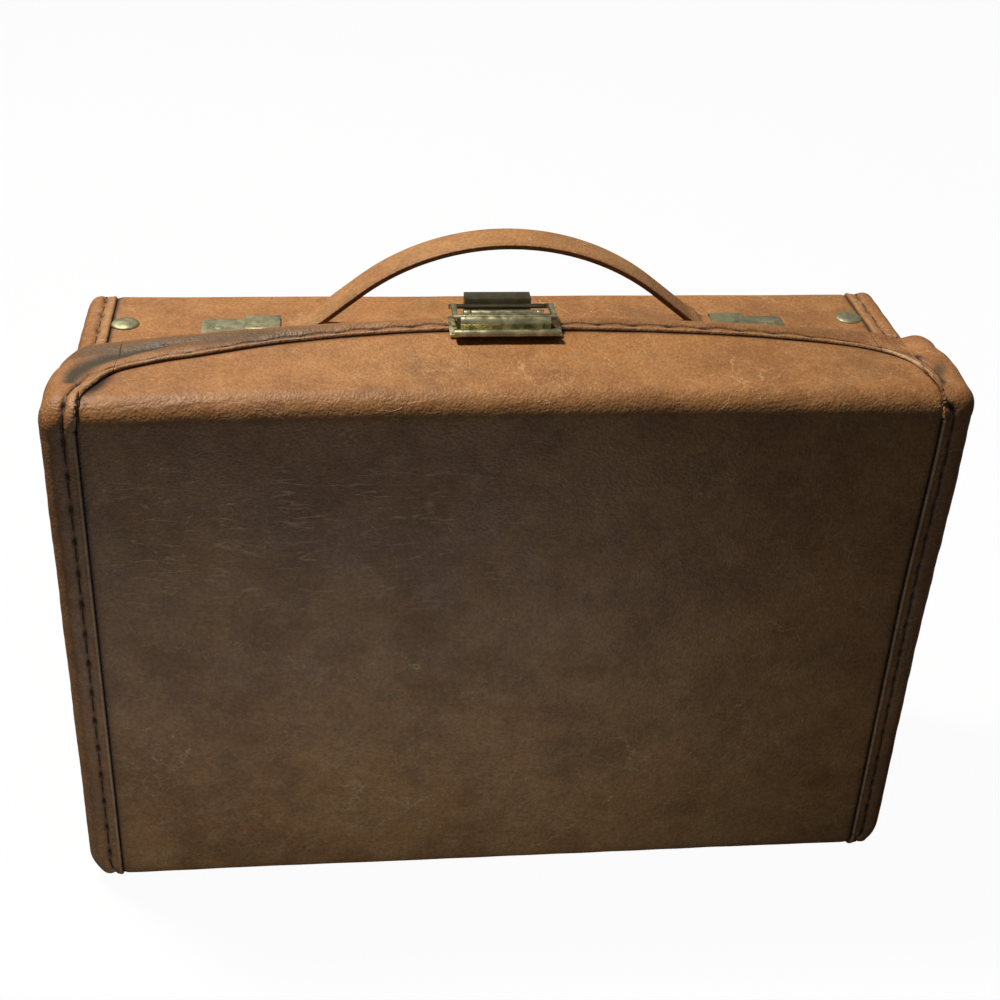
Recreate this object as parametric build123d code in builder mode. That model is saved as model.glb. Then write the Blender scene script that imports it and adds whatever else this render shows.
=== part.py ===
from build123d import *
from math import atan, cos, pi, sin, tan
import os

os.makedirs("parts", exist_ok=True)

# An upright carrying case for boxed cassette tapes, standing closed on its underside.
# Millimetres. X runs across the front, +Y from the lid in front to the body behind, +Z up.
# The origin is the middle of the footprint, on the surface the case stands on.

# Lid, the front half
lid_overhang = 7.1
lid_depth = 63.0
lid_front_rise = 8.0
rim_peak_rise = 16.5
rim_arch_drop = 14.4
lid_front_corner = 12.5
lid_rim_corner = 18.0
lid_base_corner = 15.0
lid_front_bend = 12.0

# Body, the rear half
body_depth = 69.0
body_corner = 10.0
body_back_bend = 9.5

# Walls, from the outside in
cover_thickness = 2.0
band_rise = 0.6
board_thickness = 4.6
liner_thickness = 0.8
rim_gap = 0.3
cut_margin = 1.0

# Stitched seams of the covers, and the plan of the lid's curved seam from its middle to one end:
# shares of the seam's half length, and of the depth from its middle to the front
lid_seam_inset = 16.5
lid_seam_switch_drop = 26.5
lid_seam_middle_setback = 9.0
lid_band_mitre_inset = 28.0
body_seam_inset = 15.0
lid_seam_plan = [
    (0.27, 0.02),
    (0.55, 0.065),
    (0.73, 0.176),
    (0.83, 0.231),
    (0.93, 0.352),
    (0.97, 0.556),
    (0.99, 0.796),
]

# Rim frame of the lid and the tongue of the body that goes through it
frame_depth = 6.0
tongue_thickness = 3.0
tongue_reach = 8.0
tongue_seat = 14.0
tongue_corner = 4.0
tongue_clearance = 1.0
tongue_foot = 9.0
glue_line = 0.05

# Hinge along the underside of the split
hinge_end_setback = 12.9
hinge_axis_height = 2.4
hinge_relief = 3.4
hinge_barrel_radius = 2.1
hinge_pin_radius = 0.9
hinge_leaf_thickness = 0.8
hinge_leaf_flange = 14.0
hinge_knuckles = 15
hinge_knuckle_gap = 0.4
hinge_screws = 6
hinge_screw_head_radius = 2.4
hinge_screw_radius = 1.1
hinge_screw_length = 3.5
hinge_screw_head_height = 0.6
screw_tip_room = 0.9
running_clearance = 0.06

# Tape tray, two rows of slots for boxes of 109 by 70 by 17
slots_per_row = 15
slot_width = 18.5
slot_length = 111.1
slot_depth = 36.0
rib_width = 6.3
rail_height = 7.5
tray_panel_thickness = 2.0
tray_wall = 1.4
tray_play = 0.3

# Domed rivets that hold the top rail of the tray
rivet_inset = 21.9
rivet_from_rim = 33.0
rivet_head_radius = 6.5
rivet_head_height = 3.0
rivet_shank_radius = 2.0
rivet_shank_length = 12.0
small_shank_tip_cover = 1.0

# Handle strap and its two brackets
handle_shift = 3.0
handle_from_rim = 25.0
handle_rise = 45.5
strap_width = 20.0
strap_thickness = 3.0
strap_ramp_angle = 38.3
strap_foot_setback = 10.1
strap_foot_radius = 22.0
strap_lift = 0.2
strap_end_thickness = 1.6
strap_neck_width = 10.4
strap_head_width = 13.0
strap_head_length = 4.0
strap_slide = 3.0
strap_shoulder_gap = 1.2
bracket_mouth_inset = 101.0
bracket_length = 36.0
bracket_width = 19.0
bracket_sheet = 1.2
bracket_hood_length = 16.0
bracket_hood_wall = 0.8
bracket_hood_round = 1.4
bracket_corner = 3.5
bracket_clearance = 0.4
bracket_rivet_radius = 2.0
bracket_rivet_height = 0.3
bracket_rivet_shank_radius = 1.2
bracket_rivet_setback = 8.0

# Latch: plate, lever and bail on the lid, keeper on the body
latch_shift = -1.5
latch_plate_width = 50.0
latch_plate_depth = 15.0
latch_plate_setback = 0.6
latch_plate_thickness = 1.2
lever_width = 46.5
lever_bar_width = 40.0
lever_reach = 18.0
lever_lip_radius = 1.7
lever_bar_depth = 7.6
lever_bar_height = 6.9
lever_bar_round = 3.0
lever_sheet = 1.2
lever_play = 0.3
lever_pivot_setback = 3.0
lever_pivot_rise = 3.4
lever_pin_radius = 1.0
lever_knuckle_radius = 2.0
lever_knuckle_width = 29.0
ear_thickness = 3.0
ear_gap = 0.4
bail_wire_radius = 1.1
bail_pivot_setback = 9.5
bail_pivot_rise = 5.8
bail_width = 44.0
bail_shoulder_past_rim = 4.5
bail_shoulder_drop = 0.8
bail_reach_past_rim = 16.5
bail_valley_gap = 1.8
keeper_width = 30.6
keeper_sheet = 1.4
keeper_valley_rise = 11.5
keeper_hook_rise = 3.2
keeper_back_rise = 5.8
keeper_hook_gap = 2.0
keeper_back_gap = 2.6
keeper_top_depth = 7.5
keeper_foot_length = 12.0
keeper_rivet_radius = 2.0
keeper_rivet_height = 0.9
keeper_rivet_spread = 20.0

# Places worked out from the sizes above
wall_thickness = cover_thickness + board_thickness
slot_pitch = slot_width + rib_width
body_width = slots_per_row * slot_pitch + 2 * (wall_thickness + tray_play)
body_height = 2 * slot_length + 3 * rail_height + 2 * (wall_thickness + tray_play)
lid_width = body_width + 2 * lid_overhang
lid_front_height = body_height + lid_front_rise
rim_peak_height = body_height + rim_peak_rise
case_depth = lid_depth + body_depth
front_y = -case_depth / 2
rim_y = front_y + lid_depth
back_y = case_depth / 2
lid_rim_y = rim_y - rim_gap / 2
body_rim_y = rim_y + rim_gap / 2
lid_lining_inset = wall_thickness + liner_thickness
half_lid = lid_width / 2
half_body = body_width / 2
rim_end_height = rim_peak_height - rim_arch_drop
crown_slope = (rim_peak_height - lid_front_height) / (lid_rim_y - front_y)
far = lid_width
inside_half = half_body - wall_thickness
inside_top = body_height - wall_thickness
inside_back = back_y - wall_thickness
lid_relief_y = rim_y - hinge_relief
body_relief_y = rim_y + hinge_relief
tongue_half = inside_half - glue_line
tongue_top = inside_top - glue_line
opening_half = tongue_half + tongue_clearance
opening_top = tongue_top + tongue_clearance
lid_seam_x = half_lid - lid_seam_inset
lid_seam_switch_height = lid_front_height - lid_seam_switch_drop
lid_mitre_x = half_lid - lid_band_mitre_inset
body_seam_x = half_body - body_seam_inset
hinge_length = 2 * (half_body - hinge_end_setback)


def at_y(y):
    """The upright plane that faces the front, at this place from front to back."""
    return Plane.XZ.offset(-y)


def across(x):
    """The upright plane that faces the right end, at this place across the case."""
    return Plane.YZ.offset(x)


def save(part, label):
    """Label one finished piece and write it to its own file."""
    part.label = label
    export_step(part, "parts/" + label + ".step")
    print(label, round(part.volume))


def lid_form(inset, bend):
    """The lid drawn in by a wall: a straight front, bent round at this radius, lofted to the arched rim."""
    with BuildPart() as form:
        with BuildSketch(at_y(front_y + inset)) as front:
            with BuildLine():
                Polyline(
                    (-half_lid + inset, inset),
                    (half_lid - inset, inset),
                    (half_lid - inset, lid_front_height - inset),
                    (-half_lid + inset, lid_front_height - inset),
                    close=True,
                )
            make_face()
            fillet(front.vertices().group_by(Axis.Y)[-1], radius=lid_front_corner - inset)
            fillet(front.vertices().group_by(Axis.Y)[0], radius=lid_base_corner - inset)
        with BuildSketch(at_y(lid_rim_y)) as rim:
            with BuildLine():
                Polyline(
                    (-half_lid + inset, rim_end_height - inset),
                    (-half_lid + inset, inset),
                    (half_lid - inset, inset),
                    (half_lid - inset, rim_end_height - inset),
                )
                ThreePointArc(
                    (half_lid - inset, rim_end_height - inset),
                    (0, rim_peak_height - inset),
                    (-half_lid + inset, rim_end_height - inset),
                )
            make_face()
            fillet(rim.vertices().group_by(Axis.Y)[-1], radius=lid_rim_corner - inset)
            fillet(rim.vertices().group_by(Axis.Y)[0], radius=lid_base_corner - inset)
        loft(ruled=True)
        if bend > 0:
            fillet(form.faces().sort_by(Axis.Y)[0].edges(), radius=bend)
    return form.part


def body_form(inset):
    """The outside of the body, drawn in by a wall: a rounded box, open towards the lid."""
    with BuildPart() as form:
        with BuildSketch(at_y(body_rim_y)):
            with Locations((0, body_height / 2)):
                RectangleRounded(body_width - 2 * inset, body_height - 2 * inset, body_corner - inset)
        extrude(amount=-(back_y - inset - body_rim_y))
        fillet(form.faces().sort_by(Axis.Y)[-1].edges(), radius=body_back_bend - inset)
    return form.part


def hinge_slot(high):
    """The space along the underside of the split that the hinge barrel turns in."""
    with BuildPart() as slot:
        with BuildSketch(across(0)):
            with Locations((rim_y, 0)):
                Rectangle(2 * hinge_relief, 2 * high)
        extrude(amount=half_lid, both=True)
    return slot.part


def lid_band_region():
    """The part of the lid's top behind the curved seam, as an upright prism."""
    middle = rim_y - lid_seam_middle_setback
    past_front = front_y - cut_margin
    right = [
        (lid_seam_x * across_share, middle + (front_y - middle) * forward_share)
        for across_share, forward_share in lid_seam_plan
    ]
    right.append((lid_seam_x, past_front))
    left = [(-x, y) for x, y in reversed(right)]
    with BuildPart() as region:
        with BuildSketch(Plane.XY.offset(lid_seam_switch_height)):
            with BuildLine():
                Spline(left + [(0, middle)] + right)
                Polyline(
                    (lid_seam_x, past_front),
                    (far, past_front),
                    (far, 0),
                    (-far, 0),
                    (-far, past_front),
                    (-lid_seam_x, past_front),
                )
            make_face()
        extrude(amount=rim_peak_height)
    return region.part


def end_region(seam_x, bottom, top, side):
    """Everything outside the seam at one end of the case, between two heights."""
    with BuildPart() as region:
        with BuildSketch(Plane.XY.offset(bottom)):
            with Locations((side * (seam_x + far) / 2, 0)):
                Rectangle(far - seam_x, 2 * case_depth)
        extrude(amount=top - bottom)
    return region.part


def middle_region(half, bottom):
    """Everything between two upright planes, above a height."""
    with BuildPart() as region:
        with BuildSketch(Plane.XY.offset(bottom)):
            Rectangle(2 * half, 2 * case_depth)
        extrude(amount=rim_peak_height)
    return region.part


# Forms that several pieces share
lid_outside = lid_form(0, lid_front_bend)
lid_panel = lid_form(band_rise, lid_front_bend - band_rise)
lid_board_outside = lid_form(cover_thickness, lid_front_bend - cover_thickness)
lid_board_inside = lid_form(wall_thickness, 0)
lid_lining_inside = lid_form(lid_lining_inset, 0)
body_outside = body_form(0)
body_panel = body_form(band_rise)
body_board_outside = body_form(cover_thickness)
body_inside = body_form(wall_thickness)
barrel_slot = hinge_slot(lid_lining_inset + cut_margin)
lid_bands = lid_band_region()


def hinge_screw_places(y):
    """Evenly spaced places along one hinge leaf."""
    spacing = hinge_length / hinge_screws
    return [((n - (hinge_screws - 1) / 2) * spacing, y) for n in range(hinge_screws)]


leaf_top = wall_thickness + hinge_leaf_thickness
lid_screw_y = lid_relief_y - hinge_leaf_flange / 2
body_screw_y = body_relief_y + hinge_leaf_flange / 2


# Lid: formed board
with BuildPart() as lid_board:
    add(lid_board_outside)
    add(lid_board_inside, mode=Mode.SUBTRACT)
    add(barrel_slot, mode=Mode.SUBTRACT)
    with Locations(Plane.XY.offset(leaf_top)):
        with Locations(hinge_screw_places(lid_screw_y)):
            Cylinder(
                hinge_screw_radius,
                hinge_screw_length + screw_tip_room,
                align=(Align.CENTER, Align.CENTER, Align.MAX),
                mode=Mode.SUBTRACT,
            )
save(lid_board.part, "lid_board")

# Lid: leather wrapped over the front, top and underside
with BuildPart() as lid_wrap_cover:
    add(lid_panel)
    add(lid_board_outside, mode=Mode.SUBTRACT)
    add(lid_bands, mode=Mode.SUBTRACT)
    for side in (-1, 1):
        add(end_region(lid_seam_x, -cut_margin, lid_seam_switch_height, side), mode=Mode.SUBTRACT)
    add(barrel_slot, mode=Mode.SUBTRACT)
save(lid_wrap_cover.part, "lid_wrap_cover")

# Lid: leather binding behind the curved seam of the top
with BuildPart() as lid_rim_binding:
    add(lid_outside)
    add(lid_board_outside, mode=Mode.SUBTRACT)
    add(lid_bands, mode=Mode.INTERSECT)
    add(middle_region(lid_mitre_x, lid_seam_switch_height), mode=Mode.INTERSECT)
save(lid_rim_binding.part, "lid_rim_binding")

# Lid: the two end covers with their stitched bands
for side, name in ((-1, "left"), (1, "right")):
    with BuildPart() as lid_end_upper:
        add(lid_outside)
        add(lid_board_outside, mode=Mode.SUBTRACT)
        add(lid_bands, mode=Mode.INTERSECT)
        add(end_region(lid_mitre_x, lid_seam_switch_height, 2 * far, side), mode=Mode.INTERSECT)
    with BuildPart() as lid_end_cover:
        add(lid_outside)
        add(lid_board_outside, mode=Mode.SUBTRACT)
        add(end_region(lid_seam_x, -cut_margin, lid_seam_switch_height, side), mode=Mode.INTERSECT)
        add(barrel_slot, mode=Mode.SUBTRACT)
        add(lid_end_upper.part)
    save(lid_end_cover.part, "lid_end_cover_" + name)

# Lid: lining
with BuildPart() as lid_liner:
    add(lid_board_inside)
    add(lid_lining_inside, mode=Mode.SUBTRACT)
    with BuildSketch(at_y(lid_rim_y - frame_depth)):
        with Locations((0, rim_peak_height / 2)):
            Rectangle(2 * far, 2 * far)
    extrude(amount=-far, mode=Mode.SUBTRACT)
    with BuildSketch(Plane.XY):
        with Locations((0, lid_relief_y)):
            Rectangle(hinge_length + 2 * tray_play, 2 * (hinge_leaf_flange + tray_play))
    extrude(amount=2 * wall_thickness, mode=Mode.SUBTRACT)
save(lid_liner.part, "lid_liner")

# Lid: rim frame that the body's tongue passes through
with BuildPart() as lid_rim_frame:
    add(lid_board_inside)
    with BuildSketch(at_y(lid_rim_y - frame_depth)):
        with Locations((0, rim_peak_height / 2)):
            Rectangle(2 * far, 2 * far)
    extrude(amount=far, mode=Mode.SUBTRACT)
    with BuildSketch(at_y(rim_y)) as opening:
        with BuildLine():
            Polyline(
                (-opening_half, -far),
                (opening_half, -far),
                (opening_half, opening_top),
                (-opening_half, opening_top),
                close=True,
            )
        make_face()
        fillet(opening.vertices().group_by(Axis.Y)[-1], radius=tongue_corner + tongue_clearance)
    extrude(amount=2 * frame_depth, mode=Mode.SUBTRACT)
    with BuildSketch(at_y(rim_y)):
        Rectangle(2 * far, 2 * tongue_foot)
    extrude(amount=2 * frame_depth, mode=Mode.SUBTRACT)
save(lid_rim_frame.part, "lid_rim_frame")

# Body: formed board, with holes for the tray rivets, bracket rivets and keeper rivets
rivet_y = rim_y + rivet_from_rim
rivet_places = [(side * (half_body - rivet_inset), rivet_y) for side in (-1, 1)]
handle_y = rim_y + handle_from_rim
bracket_outer_x = bracket_mouth_inset + bracket_length
bracket_rivet_x = bracket_outer_x - bracket_rivet_setback
bracket_rivet_places = [(side * bracket_rivet_x, handle_y) for side in (-1, 1)]
bail_end_y = rim_y + bail_reach_past_rim
keeper_front_y = bail_end_y - bail_wire_radius - keeper_hook_gap - keeper_sheet
keeper_step_y = bail_end_y + bail_wire_radius + keeper_back_gap
keeper_rear_y = keeper_step_y + keeper_top_depth
keeper_rivet_y = keeper_rear_y + keeper_foot_length / 2
keeper_rivet_places = [
    (latch_shift + side * keeper_rivet_spread / 2, keeper_rivet_y) for side in (-1, 1)
]
small_shank_length = wall_thickness - small_shank_tip_cover


def shank_holes(places, radius, length):
    """Holes down from the body's top for the shanks of a set of rivets."""
    with Locations(Plane.XY.offset(body_height)):
        with Locations(places):
            Cylinder(
                radius,
                length,
                align=(Align.CENTER, Align.CENTER, Align.MAX),
                mode=Mode.SUBTRACT,
            )


with BuildPart() as body_board:
    add(body_board_outside)
    add(body_inside, mode=Mode.SUBTRACT)
    add(barrel_slot, mode=Mode.SUBTRACT)
    shank_holes(rivet_places, rivet_shank_radius, rivet_shank_length)
    shank_holes(bracket_rivet_places, bracket_rivet_shank_radius, small_shank_length)
    shank_holes(keeper_rivet_places, bracket_rivet_shank_radius, small_shank_length)
    with Locations(Plane.XY.offset(leaf_top)):
        with Locations(hinge_screw_places(body_screw_y)):
            Cylinder(
                hinge_screw_radius,
                hinge_screw_length + screw_tip_room,
                align=(Align.CENTER, Align.CENTER, Align.MAX),
                mode=Mode.SUBTRACT,
            )
save(body_board.part, "body_board")

# Body: leather wrapped over the top, back and underside
with BuildPart() as body_wrap_cover:
    add(body_panel)
    add(body_board_outside, mode=Mode.SUBTRACT)
    for side in (-1, 1):
        add(end_region(body_seam_x, -cut_margin, 2 * far, side), mode=Mode.SUBTRACT)
    add(barrel_slot, mode=Mode.SUBTRACT)
    shank_holes(rivet_places, rivet_shank_radius, rivet_shank_length)
    shank_holes(bracket_rivet_places, bracket_rivet_shank_radius, small_shank_length)
    shank_holes(keeper_rivet_places, bracket_rivet_shank_radius, small_shank_length)
save(body_wrap_cover.part, "body_wrap_cover")

# Body: the two end covers with their stitched bands
for side, name in ((-1, "left"), (1, "right")):
    with BuildPart() as body_end_cover:
        add(body_outside)
        add(body_board_outside, mode=Mode.SUBTRACT)
        add(end_region(body_seam_x, -cut_margin, 2 * far, side), mode=Mode.INTERSECT)
        add(barrel_slot, mode=Mode.SUBTRACT)
    save(body_end_cover.part, "body_end_cover_" + name)

# Body: tongue, a bent board glued inside the rim that reaches into the lid
with BuildPart() as body_tongue:
    with BuildSketch(at_y(body_rim_y + tongue_seat)) as tongue_section:
        with BuildLine():
            Polyline(
                (-tongue_half, tongue_foot),
                (tongue_half, tongue_foot),
                (tongue_half, tongue_top),
                (-tongue_half, tongue_top),
                close=True,
            )
        make_face()
        fillet(tongue_section.vertices().group_by(Axis.Y)[-1], radius=tongue_corner)
    extrude(amount=tongue_seat + rim_gap + tongue_reach)
    with BuildSketch(at_y(body_rim_y + tongue_seat)) as tongue_hollow:
        with BuildLine():
            Polyline(
                (-tongue_half + tongue_thickness, 0),
                (tongue_half - tongue_thickness, 0),
                (tongue_half - tongue_thickness, tongue_top - tongue_thickness),
                (-tongue_half + tongue_thickness, tongue_top - tongue_thickness),
                close=True,
            )
        make_face()
        fillet(
            tongue_hollow.vertices().group_by(Axis.Y)[-1],
            radius=tongue_corner - tongue_thickness,
        )
    extrude(amount=2 * lid_depth, mode=Mode.SUBTRACT)
save(body_tongue.part, "body_tongue")


def knuckle_places(first):
    """Every second knuckle along the barrel, as the place of its middle and its length."""
    step = hinge_length / hinge_knuckles
    length = step - hinge_knuckle_gap
    return [
        (-hinge_length / 2 + (n + 0.5) * step, length) for n in range(first, hinge_knuckles, 2)
    ]


def hinge_leaf(side, first):
    """One flanged leaf of the hinge: knuckles, an upright strip against the edge, a flange inside."""
    near = rim_y + side * (hinge_relief - hinge_leaf_thickness)
    edge = rim_y + side * hinge_relief
    tip = rim_y + side * (hinge_relief + hinge_leaf_flange)
    flange_bottom = leaf_top - hinge_leaf_thickness
    with BuildPart() as leaf:
        with BuildSketch(across(0)):
            with BuildLine():
                Polyline(
                    (near, hinge_axis_height),
                    (edge, hinge_axis_height),
                    (edge, flange_bottom),
                    (tip, flange_bottom),
                    (tip, leaf_top),
                    (near, leaf_top),
                    close=True,
                )
            make_face()
        extrude(amount=hinge_length / 2, both=True)
        for middle, length in knuckle_places(first):
            with BuildSketch(across(middle - length / 2)):
                with Locations((rim_y, hinge_axis_height)):
                    Circle(hinge_barrel_radius)
                with Locations((rim_y + side * hinge_relief / 2, hinge_axis_height)):
                    Rectangle(
                        hinge_relief,
                        hinge_leaf_thickness,
                        align=(Align.CENTER, Align.MIN),
                    )
            extrude(amount=length)
        with Locations(Plane((0, rim_y, hinge_axis_height), x_dir=(0, 1, 0), z_dir=(1, 0, 0))):
            Cylinder(
                hinge_pin_radius + (0 if side < 0 else running_clearance),
                2 * hinge_length,
                mode=Mode.SUBTRACT,
            )
        with Locations(Plane.XY.offset(leaf_top)):
            with Locations(hinge_screw_places((edge + tip) / 2)):
                Cylinder(
                    hinge_screw_radius,
                    hinge_screw_length,
                    align=(Align.CENTER, Align.CENTER, Align.MAX),
                    mode=Mode.SUBTRACT,
                )
    return leaf.part


def hinge_screw_set(y):
    """Round headed screws that hold one leaf, as separate solids."""
    with BuildPart() as screws:
        with Locations(Plane.XY.offset(leaf_top)):
            with Locations(hinge_screw_places(y)):
                Cylinder(
                    hinge_screw_head_radius,
                    hinge_screw_head_height,
                    align=(Align.CENTER, Align.CENTER, Align.MIN),
                )
                Cylinder(
                    hinge_screw_radius,
                    hinge_screw_length,
                    align=(Align.CENTER, Align.CENTER, Align.MAX),
                )
    return screws.part


# Hinge along the underside
save(hinge_leaf(-1, 0), "lid_hinge_leaf")
save(hinge_leaf(1, 1), "body_hinge_leaf")
save(hinge_screw_set(lid_screw_y), "lid_hinge_screws")
save(hinge_screw_set(body_screw_y), "body_hinge_screws")
with BuildPart() as hinge_pin:
    with Locations(Plane((0, rim_y, hinge_axis_height), x_dir=(0, 1, 0), z_dir=(1, 0, 0))):
        Cylinder(hinge_pin_radius, hinge_length)
save(hinge_pin.part, "hinge_pin")

# Tape tray: back panel, three rails and two rows of hollow ribs
tray_back_y = inside_back - tray_play
panel_front_y = tray_back_y - tray_panel_thickness
rib_front_y = panel_front_y - slot_depth
tray_half = inside_half - tray_play
tray_bottom = wall_thickness + tray_play
tray_top = inside_top - tray_play
row_bottoms = [
    tray_bottom + rail_height,
    tray_bottom + 2 * rail_height + slot_length,
]
rail_bottoms = [
    tray_bottom,
    tray_bottom + rail_height + slot_length,
    tray_top - rail_height,
]
back_round = max(body_back_bend, body_corner) - wall_thickness + tray_play

with BuildPart() as tape_tray_panel:
    with BuildSketch(at_y(panel_front_y)):
        with Locations((0, (tray_bottom + tray_top) / 2)):
            RectangleRounded(
                2 * (tray_half - back_round),
                tray_top - tray_bottom - 2 * back_round,
                back_round,
            )
    extrude(amount=-tray_panel_thickness)
save(tape_tray_panel.part, "tape_tray_panel")

with BuildPart() as tape_tray_rails:
    for bottom in rail_bottoms:
        with BuildSketch(at_y(panel_front_y)):
            with Locations((0, bottom + rail_height / 2)):
                Rectangle(2 * (tray_half - back_round), rail_height)
        extrude(amount=slot_depth)
    shank_holes(rivet_places, rivet_shank_radius, rivet_shank_length)
save(tape_tray_rails.part, "tape_tray_rails")


def rib_row(bottom):
    """One row of hollow ribs, a half rib at each end, with a slot between each two."""
    with BuildPart() as ribs:
        for n in range(slots_per_row + 1):
            middle = (n - slots_per_row / 2) * slot_pitch
            with BuildSketch(at_y(panel_front_y)):
                with Locations((middle, bottom + slot_length / 2)):
                    Rectangle(rib_width, slot_length)
                    Rectangle(
                        rib_width - 2 * tray_wall,
                        slot_length - 2 * tray_wall,
                        mode=Mode.SUBTRACT,
                    )
            extrude(amount=slot_depth - tray_wall)
            with BuildSketch(at_y(rib_front_y + tray_wall)):
                with Locations((middle, bottom + slot_length / 2)):
                    Rectangle(rib_width, slot_length)
            extrude(amount=tray_wall)
        with BuildSketch(at_y(rib_front_y)):
            with Locations((0, bottom + slot_length / 2)):
                Rectangle(2 * far, 2 * far)
                Rectangle(2 * tray_half, 2 * far, mode=Mode.SUBTRACT)
        extrude(amount=-2 * slot_depth, mode=Mode.SUBTRACT)
    return ribs.part


save(rib_row(row_bottoms[1]), "tape_tray_ribs_upper")
save(rib_row(row_bottoms[0]), "tape_tray_ribs_lower")


def domed_rivets(places, seat, head_radius, head_height, shank_radius, shank_length):
    """Rivets with a domed head on a seat and a round shank below it, as separate solids."""
    dome_radius = (head_radius**2 + head_height**2) / (2 * head_height)
    with BuildPart() as rivets:
        with BuildSketch(Plane.XZ):
            with BuildLine():
                Line((0, -shank_length), (shank_radius, -shank_length))
                Line((shank_radius, -shank_length), (shank_radius, 0))
                Line((shank_radius, 0), (head_radius, 0))
                ThreePointArc(
                    (head_radius, 0),
                    (
                        dome_radius * sin(atan(head_radius / (dome_radius - head_height)) / 2),
                        head_height
                        - dome_radius
                        + dome_radius * cos(atan(head_radius / (dome_radius - head_height)) / 2),
                    ),
                    (0, head_height),
                )
                Line((0, head_height), (0, -shank_length))
            make_face()
        revolve(axis=Axis.Z)
    with BuildPart() as placed:
        with Locations(Plane.XY.offset(seat)):
            with Locations(places):
                add(rivets.part)
    return placed.part


# Rivets on the body's top; each seat is the surface that the head lies on
body_top_panel = body_height - band_rise
save(
    domed_rivets(
        rivet_places,
        body_top_panel,
        rivet_head_radius,
        rivet_head_height,
        rivet_shank_radius,
        rivet_shank_length - band_rise,
    ),
    "tray_rivets",
)
save(
    domed_rivets(
        bracket_rivet_places,
        body_top_panel + bracket_sheet,
        bracket_rivet_radius,
        bracket_rivet_height,
        bracket_rivet_shank_radius,
        bracket_sheet + small_shank_length - band_rise,
    ),
    "bracket_rivets",
)
save(
    domed_rivets(
        keeper_rivet_places,
        body_top_panel + keeper_sheet,
        keeper_rivet_radius,
        keeper_rivet_height,
        bracket_rivet_shank_radius,
        keeper_sheet + small_shank_length - band_rise,
    ),
    "keeper_rivets",
)

# Handle brackets: a plate with rounded outer corners and a low hood that traps the strap's end
hood_height = strap_lift + strap_end_thickness + bracket_clearance
hood_mouth_width = strap_neck_width + 2 * bracket_clearance
hood_inside_width = strap_head_width + 2 * bracket_clearance


def handle_bracket(side):
    """One bracket on the body's top, its hood towards the middle of the case."""
    mouth_x = side * bracket_mouth_inset
    hood_x = side * (bracket_mouth_inset + bracket_hood_length / 2)
    with BuildPart() as bracket:
        with BuildSketch(Plane.XY.offset(body_top_panel)) as plate:
            with Locations((side * (bracket_mouth_inset + bracket_length / 2), handle_y)):
                Rectangle(bracket_length, bracket_width)
            fillet(
                plate.vertices().sort_by(lambda corner: side * corner.X)[-2:],
                radius=bracket_corner,
            )
        extrude(amount=bracket_sheet)
        with BuildSketch(Plane.XY.offset(body_top_panel)):
            with Locations((hood_x, handle_y)):
                Rectangle(bracket_hood_length, hood_inside_width + 2 * bracket_hood_wall)
        extrude(amount=bracket_sheet + hood_height + bracket_hood_wall)
        fillet(
            bracket.edges().filter_by(Axis.X).group_by(Axis.Z)[-1],
            radius=bracket_hood_round,
        )
        with BuildSketch(Plane.XY.offset(body_top_panel + bracket_sheet)):
            with Locations((hood_x, handle_y)):
                Rectangle(bracket_hood_length - 2 * bracket_hood_wall, hood_inside_width)
            with Locations((mouth_x, handle_y)):
                Rectangle(4 * bracket_hood_wall, hood_mouth_width)
        extrude(amount=hood_height, mode=Mode.SUBTRACT)
        with Locations(Plane.XY.offset(body_top_panel)):
            with Locations((side * bracket_rivet_x, handle_y)):
                Cylinder(
                    bracket_rivet_shank_radius,
                    2 * (bracket_sheet + cut_margin),
                    mode=Mode.SUBTRACT,
                )
    return bracket.part


save(handle_bracket(-1), "handle_bracket_left")
save(handle_bracket(1), "handle_bracket_right")

# Handle strap: an arch bent from one strip, thinned and narrowed to a neck and a head at each end
strap_underside = body_top_panel + bracket_sheet + strap_lift
strap_low = strap_underside + strap_thickness / 2
strap_high = body_height + handle_rise - strap_thickness / 2
ramp = strap_ramp_angle * pi / 180
ramp_foot = bracket_mouth_inset - strap_foot_setback
ridge_height = strap_low + ramp_foot * tan(ramp)
strap_crown_radius = (ridge_height - strap_high) / (1 / cos(ramp) - 1)
hood_inner_x = bracket_mouth_inset + bracket_hood_wall
hood_far_x = bracket_mouth_inset + bracket_hood_length - bracket_hood_wall
head_middle = (hood_inner_x + hood_far_x) / 2
strap_half = head_middle + strap_head_length / 2
neck_start = bracket_mouth_inset - strap_slide - strap_shoulder_gap

with BuildPart() as handle_strap:
    with BuildSketch(at_y(handle_y)) as strap_side:
        with BuildLine() as strap_line:
            FilletPolyline(
                (-strap_half, strap_low),
                (handle_shift - ramp_foot, strap_low),
                (handle_shift, ridge_height),
                (handle_shift + ramp_foot, strap_low),
                (strap_half, strap_low),
                radius=[strap_foot_radius, strap_crown_radius, strap_foot_radius],
            )
        trace(line_width=strap_thickness)
    extrude(amount=strap_width / 2, both=True)
    with BuildSketch(Plane.XY):
        for side in (-1, 1):
            with Locations((side * (neck_start + far) / 2, handle_y)):
                Rectangle(far - neck_start, 2 * strap_width)
                Rectangle(far - neck_start, strap_neck_width, mode=Mode.SUBTRACT)
            with Locations((side * head_middle, handle_y)):
                Rectangle(strap_head_length, strap_head_width, mode=Mode.SUBTRACT)
    extrude(amount=2 * far, mode=Mode.SUBTRACT)
    with BuildSketch(Plane.XY.offset(strap_underside + strap_end_thickness)):
        for side in (-1, 1):
            with Locations((side * (neck_start + far) / 2, handle_y)):
                Rectangle(far - neck_start, 2 * strap_width)
    extrude(amount=strap_thickness, mode=Mode.SUBTRACT)
save(handle_strap.part, "handle_strap")


def crown_height(y):
    """Height of the lid's top along its middle line."""
    return rim_peak_height + crown_slope * (y - lid_rim_y)


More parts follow.
